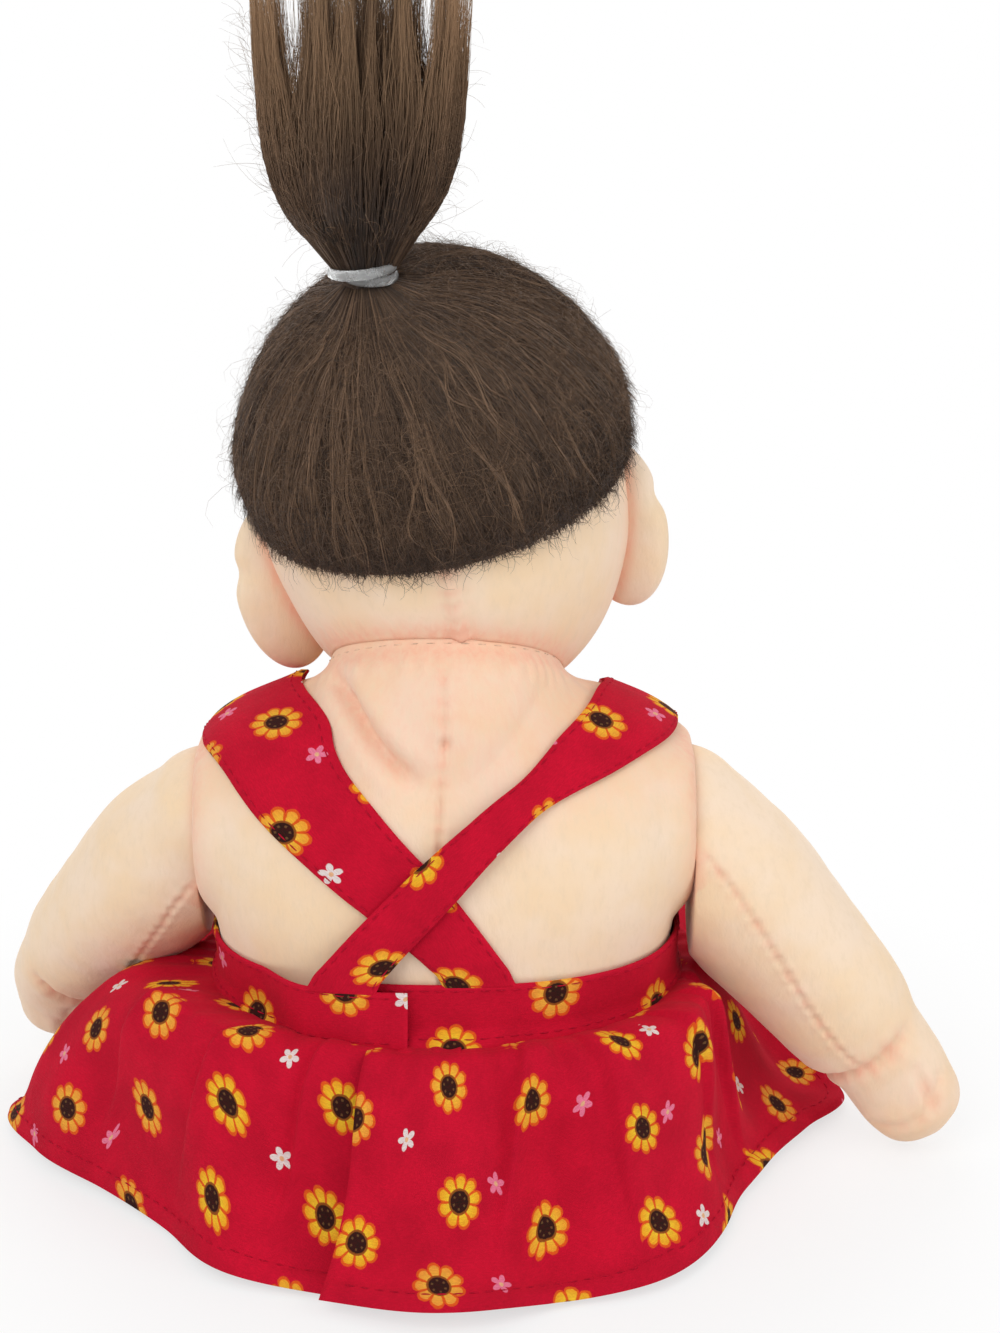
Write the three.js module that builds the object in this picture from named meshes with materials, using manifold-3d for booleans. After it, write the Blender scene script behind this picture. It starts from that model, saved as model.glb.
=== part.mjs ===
// A plush doll in a cotton sundress, sitting on a table, taken apart into its sewn and fitted pieces.
// Millimetres and degrees. +Z is up, the doll faces -Y, and its left hand is at +X.
// The origin is the middle of the flat seat, on the table.
import * as THREE from 'three';
import { mergeVertices } from 'three/addons/utils/BufferGeometryUtils.js';
import Module from 'manifold-3d';

const wasm = await Module();
wasm.setup();

// Fabrics and clearances
const FABRIC = 1.5; // pile fabric of the body
const COTTON = 1.3; // hemmed cotton of the dress
const TAPE = 0.8; // each half of the hook-and-loop closure
const SEAM_GAP = 0.3; // between pieces that are sewn or laid together
const TURN_GAP = 0.5; // between a limb's round end and its socket
const FACET_TOLERANCE = 0.02; // flat enough to be one facet
const OUTER_SIDES = 24; // facets round the torso and head
const INNER_SIDES = 14; // and round their insides

// Torso
const TORSO_HEIGHT = 90;
const CHEST_WIDTH = 86;
const BELLY_DEPTH = 32; // from the origin forwards
const BACK_DEPTH = 33; // from the origin backwards
const PELLET_LEVEL = 17; // top of the weighted bag in the seat
const FILLING_HOLE = 5; // radius of the hole that each cover is stuffed through

// Torso sections as shares of its height, half width, front depth and back depth, and how square each is:
// 2 is an ellipse, and more fills its corners
const TORSO_SECTIONS = [
  [0, 0.58, 0.38, 0.61, 2],
  [0.033, 0.72, 0.47, 0.79, 2],
  [0.11, 0.86, 0.55, 0.92, 2.1],
  [0.22, 0.93, 0.58, 0.985, 2.2],
  [0.31, 0.95, 0.62, 1, 2.2],
  [0.38, 0.94, 0.84, 0.985, 2.2],
  [0.47, 0.94, 0.985, 0.955, 2.4],
  [0.6, 0.985, 1, 0.94, 2.7],
  [0.71, 1, 0.955, 0.895, 2.9],
  [0.8, 1, 0.86, 0.835, 2.8],
  [0.865, 0.97, 0.735, 0.745, 2.5],
  [0.91, 0.87, 0.625, 0.68, 2.2],
  [0.955, 0.67, 0.53, 0.62, 2.05],
  [1, 0.48, 0.44, 0.545, 2],
];

// Neck and head
const NECK_RADIUS = 22; // round top of the torso that the head sits on
const NECK_SINK = 7; // its centre below the top of the torso
const NECK_BACK = 2; // its centre behind the origin
const NECK_LEAN = 28; // the neck leans forwards
const NECK_OPENING = 67; // half angle of the head's neck seam, seen from the neck's centre
const NECK_CLEAR = 71.5; // half angle of the cone that the head keeps above the shoulders
const NECK_CLEAR_STEP = 1.5; // the shoulders stay this far outside that cone
const HEAD_WIDTH = 65;
const HEAD_DEPTH = 70;
const HEAD_HEIGHT = 76;
const HEAD_ROLL = 10.5; // the head tips towards the doll's left
const CHEEK_SWELL = 2.2;

// Hair
const HAIR_PILE = 4; // thickness of the hair fabric at the sides
const HAIR_MOUND = 2; // extra thickness where the hair is gathered upwards
const HAIRLINE_TILT = 13; // nape low, forehead high
const HAIRLINE_HEIGHT = 3.5; // above the middle of the head
const TIE_BACK = 15; // the ponytail's root, behind the crown
const TIE_SIDE = 5; // and towards the doll's left
const PONYTAIL_LENGTH = 61;
const PONYTAIL_WIDTH = 37;
const PONYTAIL_DEPTH = 27;
const PONYTAIL_NECK = 2.8; // radius inside the elastic
const PONYTAIL_FLARE = 12; // height above the elastic where the hair has spread out
const PONYTAIL_LOCKS = 9;
const PONYTAIL_SIDE_LEAN = -8;
const PONYTAIL_BACK_LEAN = 6;
const TIE_HEIGHT = 4.5; // elastic above the hair
const ELASTIC_RADIUS = 0.95;
const ELASTIC_LOOPS = 2;
const ELASTIC_STRAND_GAP = 0.6;

// Face and ears
const EYE_RADIUS = 4.2;
const EYE_RISE = 2.6;
const EYE_AZIMUTH = 25; // to each side of the nose
const EYE_ELEVATION = -5;
const SHANK_RADIUS = 1.2;
const SHANK_LENGTH = 6;
const WASHER_RADIUS = 4;
const WASHER_THICKNESS = 1;
const NOSE_WIDTH = 9;
const NOSE_HEIGHT = 7;
const NOSE_ELEVATION = -15;
const MOUTH_HALF_ANGLE = 14;
const MOUTH_ELEVATION = -32;
const MOUTH_THREAD = 0.8;
const EAR_HEIGHT = 26;
const EAR_REACH = 9;
const EAR_THICKNESS = 8.4;
const EAR_DROP = 12; // centre below the middle of the head
const EAR_SWEEP = 24; // the ears turn towards the back

// Arms
const ARM_BALL = 12.5;
const ARM_LENGTH = 57; // shoulder to wrist
const ARM_THICKNESS = 28;
const WRIST_THICKNESS = 18.5;
const HAND_LENGTH = 21;
const HAND_WIDTH = 19;
const HAND_BEND = 4;
const HAND_FLATNESS = 0.82;
const THUMB_RADIUS = 4.2;
const SHOULDER_SHARE = 0.71; // of the torso's height
const SHOULDER_INSET = 2; // the ball's centre inside the torso's side
const SHOULDER_BACK = 2;
const LEFT_ARM_SPREAD = 34;
const LEFT_ARM_FORWARD = 32;
const RIGHT_ARM_SPREAD = 40;
const RIGHT_ARM_FORWARD = -4;

// Legs
const LEG_BALL = 13;
const LEG_LENGTH = 56; // hip to ankle
const THIGH_THICKNESS = 26.4;
const ANKLE_THICKNESS = 21;
const FOOT_HEIGHT = 36;
const FOOT_WIDTH = 23;
const FOOT_LENGTH = 20;
const HEEL_FLAT = 0.5; // depth that the heel is pressed flat on the table
const HIP_SPACING = 40;
const HIP_HEIGHT = 14.5;
const HIP_FORWARD = 24;
const LEG_SPLAY = 22;

// Dress
const WAIST_HEIGHT = 34.7; // lower edge of the waistband
const BAND_HEIGHT = 10;
const BAND_END = 8; // angle of the outer end, from the middle of the back towards the doll's left
const BAND_LAP = 20; // angle that the ends overlap
const TAPE_INSET = 1.2;
const BIB_HEIGHT = 27;
const BIB_TOP_ANGLE = 46; // half the angle that the bib spans round the chest
const BIB_FOOT_ANGLE = 62;
const SKIRT_REACH = 30; // distance from waist to hem at the back, seen from above
const SKIRT_DROP = 33.2; // from waist to table
const SKIRT_DROP_FRONT = 5; // from waist to lap
const SKIRT_FOLDS = 11;
const FOLD_DEPTH = 2.4;
const SKIRT_UNDER_END = -4; // angles of the two back edges, the right panel lies over the left one
const SKIRT_OVER_END = 16;
const SKIRT_FLOOR = 0.6; // hem above the table
const SKIRT_LAP_CLEARANCE = 1.2; // cloth above the thighs

const { degToRad, lerp, clamp, smoothstep } = THREE.MathUtils;
const sin = (angle) => Math.sin(degToRad(angle));
const cos = (angle) => Math.cos(degToRad(angle));
const vec = (x, y, z) => new THREE.Vector3(x, y, z);

// Solids: closed triangle meshes that can be joined and cut
function solid(geometry) {
  const plain = geometry.clone();
  plain.deleteAttribute('normal');
  plain.deleteAttribute('uv');
  const merged = mergeVertices(plain, 1e-5);
  const mesh = new wasm.Mesh({
    numProp: 3,
    vertProperties: new Float32Array(merged.attributes.position.array),
    triVerts: new Uint32Array(merged.index.array),
  });
  return new wasm.Manifold(mesh);
}

function geometryOf(manifold) {
  const mesh = manifold.simplify(FACET_TOLERANCE).getMesh();
  const geometry = new THREE.BufferGeometry();
  geometry.setAttribute('position', new THREE.BufferAttribute(new Float32Array(mesh.vertProperties), 3));
  geometry.setIndex(new THREE.BufferAttribute(new Uint32Array(mesh.triVerts), 1));
  geometry.computeVertexNormals();
  return geometry;
}

function closedGeometry(points, triangles) {
  const volume = triangles.reduce((sum, [a, b, c]) => {
    const cross = vec(0, 0, 0).crossVectors(points[b], points[c]);
    return sum + points[a].dot(cross);
  }, 0);
  const outward = volume > 0 ? triangles : triangles.map(([a, b, c]) => [a, c, b]);
  const geometry = new THREE.BufferGeometry().setFromPoints(points);
  geometry.setIndex(outward.flat());
  return geometry;
}

// A loft through rings with the same number of points, with both ends closed flat
function loft(rings) {
  const sides = rings[0].length;
  const points = rings.flat();
  const triangles = [];
  for (let i = 0; i + 1 < rings.length; i += 1) {
    for (let j = 0; j < sides; j += 1) {
      const a = i * sides + j;
      const b = i * sides + ((j + 1) % sides);
      triangles.push([a, b, a + sides], [b, b + sides, a + sides]);
    }
  }
  const last = (rings.length - 1) * sides;
  for (let j = 1; j + 1 < sides; j += 1) {
    triangles.push([0, j + 1, j], [last, last + j, last + j + 1]);
  }
  return closedGeometry(points, triangles);
}

// A sheet between an inner and an outer skin; point(u, v, side) gives either skin
function sheet(point, across, along) {
  const points = [];
  const index = (i, j, side) => (i * (across + 1) + j) * 2 + side;
  for (let i = 0; i <= along; i += 1) {
    for (let j = 0; j <= across; j += 1) {
      points.push(point(i / along, j / across, 0), point(i / along, j / across, 1));
    }
  }
  const triangles = [];
  const quad = (a, b, c, d) => triangles.push([a, b, c], [a, c, d]);
  for (let i = 0; i < along; i += 1) {
    for (let j = 0; j < across; j += 1) {
      quad(index(i, j, 0), index(i, j + 1, 0), index(i + 1, j + 1, 0), index(i + 1, j, 0));
      quad(index(i, j, 1), index(i + 1, j, 1), index(i + 1, j + 1, 1), index(i, j + 1, 1));
    }
    quad(index(i, 0, 0), index(i + 1, 0, 0), index(i + 1, 0, 1), index(i, 0, 1));
    quad(index(i, across, 0), index(i, across, 1), index(i + 1, across, 1), index(i + 1, across, 0));
  }
  for (let j = 0; j < across; j += 1) {
    quad(index(0, j, 0), index(0, j, 1), index(0, j + 1, 1), index(0, j + 1, 0));
    quad(index(along, j, 0), index(along, j + 1, 0), index(along, j + 1, 1), index(along, j, 1));
  }
  return solid(closedGeometry(points, triangles));
}

// A smooth curve through the rows of a table, each row a position and its values
function between(table, x) {
  const last = table.length - 2;
  let i = 0;
  while (i < last && x > table[i + 1][0]) {
    i += 1;
  }
  const [from, to] = [table[i], table[i + 1]];
  const before = table[Math.max(i - 1, 0)];
  const after = table[Math.min(i + 2, last + 1)];
  const span = to[0] - from[0];
  const t = clamp((x - from[0]) / span, 0, 1);
  return from.slice(1).map((start, k) => {
    const end = to[k + 1];
    const slopeIn = (end - before[k + 1]) / (to[0] - before[0]) * span;
    const slopeOut = (after[k + 1] - start) / (after[0] - from[0]) * span;
    const [t2, t3] = [t * t, t * t * t];
    return start * (2 * t3 - 3 * t2 + 1) + slopeIn * (t3 - 2 * t2 + t)
      + end * (3 * t2 - 2 * t3) + slopeOut * (t3 - t2);
  });
}

function ellipsoid(halves, centre, sides = 16) {
  const geometry = new THREE.SphereGeometry(1, sides, Math.round(sides * 0.6)).rotateX(Math.PI / 2);
  geometry.scale(halves.x, halves.y, halves.z);
  return solid(geometry.translate(centre.x, centre.y, centre.z));
}

// A lathe about an axis through a point; the profile is [radius, height] pairs that start and end on the axis
function turned(profile, base, axis, sides) {
  const geometry = new THREE.LatheGeometry(profile.map(([r, h]) => new THREE.Vector2(r, h)), sides);
  const turn = new THREE.Quaternion().setFromUnitVectors(vec(0, 1, 0), axis.clone().normalize());
  return solid(geometry.applyQuaternion(turn).translate(base.x, base.y, base.z));
}

// A ball whose facets run round the axis that it turns about
function ball(radius, centre, axis, sides) {
  const steps = Math.round(sides * 0.6);
  const profile = [];
  for (let i = 0; i <= steps; i += 1) {
    const angle = 180 * i / steps;
    profile.push([i % steps === 0 ? 0 : radius * sin(angle), -radius * cos(angle)]);
  }
  return turned(profile, centre, axis, sides);
}

const rod = (radius, length, base, axis) =>
  turned([[0, 0], [radius, 0], [radius, length], [0, length]], base, axis, 10);

// A limb along a path, round or flattened, whose thickness follows a table of shares along the path
function limb(path, radii, offset, flatness, sides, steps) {
  const rings = [];
  const frontal = vec(0, 1, 0);
  for (let i = 0; i <= steps; i += 1) {
    const share = lerp(radii[0][0], radii[radii.length - 1][0], i / steps);
    const [radius, flat] = between(radii, share);
    const centre = path.getPointAt(share);
    const along = path.getTangentAt(share);
    const side = vec(0, 0, 0).crossVectors(along, frontal).normalize();
    const front = vec(0, 0, 0).crossVectors(side, along);
    const round = lerp(flatness, 1, 1 - flat);
    const ring = [];
    for (let j = 0; j < sides; j += 1) {
      const angle = 360 * j / sides;
      const half = Math.max(radius + offset, 0.4);
      const point = centre.clone().addScaledVector(side, half * cos(angle));
      ring.push(point.addScaledVector(front, (half * round) * sin(angle)));
    }
    rings.push(ring);
  }
  return solid(loft(rings));
}

// Materials
const cloth = (color, roughness = 0.95) => new THREE.MeshStandardMaterial({ color, roughness, metalness: 0 });
const skin = () => cloth(0xf2d8b8);
const fibre = () => cloth(0xf4f1ea);
const red = () => cloth(0xbb0a2a, 0.9);
const hair = () => cloth(0x4d3d30, 0.8);

function piece(name, manifold, material) {
  const mesh = new THREE.Mesh(geometryOf(manifold), material);
  mesh.name = name;
  return mesh;
}

// Torso surface: angle from the middle of the back towards the doll's left, height, and offset outwards
function torsoSection([width, front, back, square], angle, offset, height) {
  const depth = cos(angle) >= 0 ? back * BACK_DEPTH : front * BELLY_DEPTH;
  const fill = (Math.abs(sin(angle)) ** square + Math.abs(cos(angle)) ** square) ** (-1 / square);
  const half = width * CHEST_WIDTH / 2 + offset;
  return vec(half * fill * sin(angle), (depth + offset) * fill * cos(angle), height);
}

const torsoSurface = (angle, height) =>
  torsoSection(between(TORSO_SECTIONS, height / TORSO_HEIGHT), angle, 0, height);

function torsoPoint(angle, height, offset) {
  const round = torsoSurface(angle + 1, height).sub(torsoSurface(angle - 1, height));
  const up = torsoSurface(angle, height + 0.5).sub(torsoSurface(angle, height - 0.5));
  return torsoSurface(angle, height).addScaledVector(up.cross(round).normalize(), offset);
}

function torsoLoft(offset, sides) {
  const rings = TORSO_SECTIONS.map(([share, ...section]) => {
    const height = lerp(-offset, TORSO_HEIGHT + offset, share);
    const ring = [];
    for (let j = 0; j < sides; j += 1) {
      ring.push(torsoSection(section, 360 * j / sides, offset, height));
    }
    return ring;
  });
  return solid(loft(rings));
}

// Joint centres
const neckCentre = vec(0, NECK_BACK, TORSO_HEIGHT - NECK_SINK);
const neckAxis = vec(0, -sin(NECK_LEAN), cos(NECK_LEAN));
const shoulders = [1, -1].map((side) =>
  vec(side * (CHEST_WIDTH / 2 - SHOULDER_INSET), SHOULDER_BACK, SHOULDER_SHARE * TORSO_HEIGHT));
const hips = [1, -1].map((side) => vec(side * HIP_SPACING / 2, -HIP_FORWARD, HIP_HEIGHT));

// The cone above the shoulders that the head turns in, moved along the neck by shift
function neckCone(halfAngle, shift) {
  const height = HEAD_HEIGHT * 2;
  const profile = [[0, 0], [height * Math.tan(degToRad(halfAngle)), height], [0, height]];
  return turned(profile, neckCentre.clone().addScaledVector(neckAxis, shift), neckAxis, 18);
}

function sockets(manifold, grow, sides) {
  const arms = shoulders.map((centre) => ball(ARM_BALL + grow, centre, vec(1, 0, 0), sides));
  const legs = hips.map((centre) => ball(LEG_BALL + grow, centre, vec(1, 0, 0), sides));
  return [...arms, ...legs].reduce((rest, socket) => rest.subtract(socket), manifold);
}

// Torso inside an offset from its outer skin, with the sockets and the shoulders' slope cut away
function torsoBody(offset, sides) {
  const shoulderCone = neckCone(NECK_CLEAR + NECK_CLEAR_STEP, offset / cos(NECK_CLEAR));
  const neck = ball(NECK_RADIUS + offset, neckCentre, neckAxis, offset < 0 ? 12 : 18);
  const body = torsoLoft(offset, sides).subtract(shoulderCone).add(neck);
  return sockets(body, TURN_GAP - offset, offset < 0 ? 10 : 14);
}

function makeTorso() {
  const group = new THREE.Group();
  const filling = rod(FILLING_HOLE, NECK_RADIUS * 2, neckCentre, neckAxis);
  const cover = torsoBody(0, OUTER_SIDES).subtract(torsoBody(-FABRIC, INNER_SIDES)).subtract(filling);
  const inside = torsoBody(-FABRIC - SEAM_GAP, INNER_SIDES);
  const bag = inside.trimByPlane([0, 0, -1], -PELLET_LEVEL);
  const fill = inside.trimByPlane([0, 0, 1], PELLET_LEVEL + SEAM_GAP);
  group.add(piece('torso_cover', cover, skin()));
  group.add(piece('torso_stuffing', fill, fibre()));
  group.add(piece('seat_pellet_bag', bag, cloth(0xd9d3c4)));
  return group;
}

// Head: its group sits at the head's centre and is rolled to one side
const seamRadius = NECK_RADIUS * sin(NECK_OPENING);
const headRise = NECK_RADIUS * cos(NECK_OPENING)
  + HEAD_HEIGHT / 2 * Math.sqrt(1 - (seamRadius / (HEAD_WIDTH / 2)) ** 2);
const headGroup = new THREE.Group();
headGroup.position.copy(neckCentre).addScaledVector(neckAxis, headRise);
headGroup.rotation.y = degToRad(HEAD_ROLL);
headGroup.updateMatrix();
const intoHead = (manifold) => manifold.transform(headGroup.matrix.clone().invert().elements);

// A direction on the head: azimuth from the nose towards the doll's left, and elevation
const facing = (azimuth, elevation) =>
  vec(sin(azimuth) * cos(elevation), -cos(azimuth) * cos(elevation), sin(elevation));

function headRadius(direction) {
  const halves = vec(HEAD_WIDTH / 2, HEAD_DEPTH / 2, HEAD_HEIGHT / 2);
  const plain = 1 / direction.clone().divide(halves).length();
  const cheek = Math.max(...[-34, 34].map((azimuth) => direction.dot(facing(azimuth, -24))));
  return plain + CHEEK_SWELL * smoothstep(cheek, 0.75, 1);
}

const headPoint = (direction, offset) => direction.clone().multiplyScalar(headRadius(direction) + offset);

function headBall(offset, sides = OUTER_SIDES) {
  const geometry = new THREE.SphereGeometry(1, sides, Math.round(sides * 0.6)).rotateX(Math.PI / 2);
  const position = geometry.attributes.position;
  for (let i = 0; i < position.count; i += 1) {
    const direction = vec(0, 0, 0).fromBufferAttribute(position, i).normalize();
    const point = headPoint(direction, offset(direction));
    position.setXYZ(i, point.x, point.y, point.z);
  }
  return solid(geometry);
}

// Head inside an offset from its outer skin, with the neck's ball and cone cut away
function headBody(offset, sides) {
  const cone = intoHead(neckCone(NECK_CLEAR, -offset / sin(NECK_CLEAR)));
  const socket = intoHead(ball(NECK_RADIUS + TURN_GAP - offset, neckCentre, neckAxis, offset < 0 ? 12 : 18));
  return headBall(() => offset, sides).intersect(cone).subtract(socket);
}

const hairOffset = (direction) => SEAM_GAP + HAIR_PILE + HAIR_MOUND * Math.max(direction.z, 0) ** 2;
const hairlineNormal = [0, sin(HAIRLINE_TILT), cos(HAIRLINE_TILT)];

function eyePlace(side) {
  const axis = facing(side * EYE_AZIMUTH, EYE_ELEVATION);
  return { axis, base: headPoint(axis, SEAM_GAP) };
}

function makeEye(side) {
  const { axis, base } = eyePlace(side);
  const dome = [[0, -SHANK_LENGTH], [SHANK_RADIUS, -SHANK_LENGTH], [SHANK_RADIUS, 0], [EYE_RADIUS, 0]];
  for (let step = 1; step <= 4; step += 1) {
    dome.push([EYE_RADIUS * cos(step * 22.5), EYE_RISE * sin(step * 22.5)]);
  }
  dome[dome.length - 1][0] = 0;
  return turned(dome, base, axis, 14);
}

// The washer's face follows the inside of the cover
function makeWasher(side) {
  const { axis, base } = eyePlace(side);
  const bore = SHANK_RADIUS + SEAM_GAP;
  const foot = -FABRIC - SEAM_GAP * 5 - WASHER_THICKNESS;
  const ring = [[bore, 0], [bore, foot], [WASHER_RADIUS, foot], [WASHER_RADIUS, 0], [bore, 0]];
  return turned(ring, base, axis, 10).intersect(headBall(() => -FABRIC - SEAM_GAP, INNER_SIDES));
}

// Room for an eye's shank and washer in the stuffing behind the cover
function eyePocket(side) {
  const { axis, base } = eyePlace(side);
  const foot = base.clone().addScaledVector(axis, -SHANK_LENGTH - SEAM_GAP * 2);
  return rod(WASHER_RADIUS + SEAM_GAP, SHANK_LENGTH + SEAM_GAP * 4, foot, axis);
}

function makeNose() {
  const centre = headPoint(facing(0, NOSE_ELEVATION), 0);
  const pad = ellipsoid(vec(NOSE_WIDTH / 2, NOSE_HEIGHT / 2, NOSE_HEIGHT / 2), centre, 12);
  return pad.subtract(headBall(() => SEAM_GAP));
}

function makeMouth() {
  const steps = 10;
  const points = [];
  for (let i = 0; i <= steps; i += 1) {
    const share = 2 * i / steps - 1;
    const direction = facing(share * MOUTH_HALF_ANGLE, MOUTH_ELEVATION + 5 * share * share);
    points.push(headPoint(direction, SEAM_GAP * 2 + MOUTH_THREAD));
  }
  const section = new THREE.Shape().absarc(0, 0, MOUTH_THREAD, 0, Math.PI * 2);
  const extrudePath = new THREE.CatmullRomCurve3(points);
  return solid(new THREE.ExtrudeGeometry(section, { steps: steps * 2, curveSegments: 3, extrudePath }));
}

function makeEar(side) {
  const geometry = new THREE.SphereGeometry(1, 12, 9).rotateX(Math.PI / 2);
  geometry.scale(EAR_REACH, EAR_THICKNESS / 2, EAR_HEIGHT / 2);
  const root = headPoint(vec(side, 0.06, -EAR_DROP / (HEAD_WIDTH / 2)).normalize(), 0);
  geometry.rotateZ(degToRad(side * EAR_SWEEP)).translate(root.x, root.y, root.z);
  const below = hairlineNormal.map((value) => -value);
  return solid(geometry)
    .subtract(headBall(() => SEAM_GAP))
    .trimByPlane(below, SEAM_GAP - HAIRLINE_HEIGHT * cos(HAIRLINE_TILT));
}

function makeHairCap() {
  const shell = headBall(hairOffset).subtract(headBall(() => SEAM_GAP));
  return shell.trimByPlane(hairlineNormal, HAIRLINE_HEIGHT * cos(HAIRLINE_TILT));
}

// Ponytail: a group at its root, whose own +Z runs along the hair
const tieDirection = vec(TIE_SIDE, TIE_BACK, HEAD_HEIGHT / 2).normalize();
const ponytailGroup = new THREE.Group();
ponytailGroup.position.copy(headPoint(tieDirection, hairOffset(tieDirection)));
ponytailGroup.rotation.set(degToRad(-PONYTAIL_BACK_LEAN), degToRad(PONYTAIL_SIDE_LEAN), 0);
ponytailGroup.updateMatrix();

// One lock of hair from the elastic to its tip, leaning out by a share of the ponytail's spread
function makeLock(number) {
  const outer = number > 0;
  const angle = 360 * number / (PONYTAIL_LOCKS - 1) + 14;
  const spread = outer ? 0.66 : 0;
  const lean = vec(spread * PONYTAIL_WIDTH / 2 * cos(angle), spread * PONYTAIL_DEPTH / 2 * sin(angle), 0);
  const height = PONYTAIL_LENGTH * (1 - (outer ? 0.06 + 0.05 * cos(angle * 3) : 0));
  const waist = PONYTAIL_NECK * 0.3;
  const path = new THREE.CatmullRomCurve3([
    lean.clone().setLength(outer ? waist : 0).setZ(TIE_HEIGHT + 3.4),
    lean.clone().multiplyScalar(0.9).setZ(TIE_HEIGHT + PONYTAIL_FLARE),
    lean.clone().setZ(height * 0.6),
    lean.clone().setZ(height),
  ]);
  const fat = PONYTAIL_DEPTH * 0.22;
  const radii = [
    [0, PONYTAIL_NECK * 0.6, 0],
    [0.14, fat * 0.6, 0],
    [0.28, fat, 0],
    [0.6, fat * 1.08, 0],
    [0.85, fat * 0.85, 0],
    [1, fat * 0.12, 0],
  ];
  return limb(path, radii, 0, 1, 7, 7);
}

function makePonytail() {
  const root = PONYTAIL_NECK * 2.4;
  const profile = [
    [0, -root], [root, -root], [root, 0], [PONYTAIL_NECK, TIE_HEIGHT - 2],
    [PONYTAIL_NECK, TIE_HEIGHT + 2.7], [PONYTAIL_NECK * 2, TIE_HEIGHT + 6], [0, TIE_HEIGHT + 12],
  ];
  const core = turned(profile, vec(0, 0, 0), vec(0, 0, 1), 12);
  const locks = Array.from({ length: PONYTAIL_LOCKS }, (_, number) => makeLock(number));
  const tuft = locks.reduce((whole, lock) => whole.add(lock), core);
  const scalp = headBall((direction) => hairOffset(direction) + SEAM_GAP);
  return tuft.subtract(scalp.transform(ponytailGroup.matrix.clone().invert().elements));
}

// One unbroken elastic that goes round more than once, its strands twisting about each other
const strandTurn = (ELASTIC_RADIUS * 2 + ELASTIC_STRAND_GAP) / 2 / Math.sin(Math.PI / ELASTIC_LOOPS);
const elasticRing = PONYTAIL_NECK + SEAM_GAP + strandTurn + ELASTIC_RADIUS;

function elasticPoint(share) {
  const turn = 2 * Math.PI * ELASTIC_LOOPS * share;
  const twist = 2 * Math.PI * share;
  const radius = elasticRing + strandTurn * Math.cos(twist);
  return vec(radius * Math.cos(turn), radius * Math.sin(turn), TIE_HEIGHT + strandTurn * Math.sin(twist));
}

function makeElastic() {
  const steps = 24 * ELASTIC_LOOPS;
  const sides = 6;
  const points = [];
  const triangles = [];
  const upright = vec(0, 0, 1);
  for (let i = 0; i < steps; i += 1) {
    const centre = elasticPoint(i / steps);
    const along = elasticPoint((i + 0.5) / steps).sub(elasticPoint((i - 0.5) / steps)).normalize();
    const out = vec(0, 0, 0).crossVectors(along, upright).normalize();
    const over = vec(0, 0, 0).crossVectors(out, along);
    for (let j = 0; j < sides; j += 1) {
      const point = centre.clone().addScaledVector(out, ELASTIC_RADIUS * cos(60 * j));
      points.push(point.addScaledVector(over, ELASTIC_RADIUS * sin(60 * j)));
      const [a, b] = [i * sides + j, i * sides + (j + 1) % sides];
      const next = sides * ((i + 1) % steps) - sides * i;
      triangles.push([a, b, a + next], [b, b + next, a + next]);
    }
  }
  return solid(closedGeometry(points, triangles));
}

// Least gap between two stretches of the elastic that are not next to each other
function elasticGap() {
  const steps = 24 * ELASTIC_LOOPS;
  let least = Infinity;
  for (let i = 0; i < steps; i += 1) {
    for (let j = i + 12; j <= i + steps - 12; j += 1) {
      const apart = elasticPoint(i / steps).distanceTo(elasticPoint(j / steps));
      least = Math.min(least, apart - 2 * ELASTIC_RADIUS);
    }
  }
  return least;
}

function makeHead() {
  const neckHole = rod(FILLING_HOLE, NECK_RADIUS * 2, neckCentre, neckAxis);
  const inside = headBody(-FABRIC, INNER_SIDES);
  let cover = headBody(0, OUTER_SIDES).subtract(inside).subtract(intoHead(neckHole));
  let fill = headBody(-FABRIC - SEAM_GAP, INNER_SIDES);
  [['left', 1], ['right', -1]].forEach(([name, side]) => {
    const { axis, base } = eyePlace(side);
    const deep = base.clone().addScaledVector(axis, -SHANK_LENGTH);
    cover = cover.subtract(rod(SHANK_RADIUS + SEAM_GAP, SHANK_LENGTH * 2, deep, axis));
    fill = fill.subtract(eyePocket(side));
    headGroup.add(piece(`${name}_eye`, makeEye(side), cloth(0x241a14, 0.15)));
    headGroup.add(piece(`${name}_eye_washer`, makeWasher(side), cloth(0xe8e8e4, 0.5)));
    headGroup.add(piece(`${name}_ear`, makeEar(side), skin()));
  });
  headGroup.add(piece('head_cover', cover, skin()));
  headGroup.add(piece('head_stuffing', fill, fibre()));
  headGroup.add(piece('nose', makeNose(), cloth(0xeec4a4)));
  headGroup.add(piece('mouth_stitch', makeMouth(), cloth(0xb8605a)));
  headGroup.add(piece('hair_cap', makeHairCap(), hair()));
  ponytailGroup.add(piece('ponytail', makePonytail(), hair()));
  ponytailGroup.add(piece('hair_elastic', makeElastic(), cloth(0xdfe2e4, 0.2)));
  headGroup.add(ponytailGroup);
  return headGroup;
}

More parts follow.
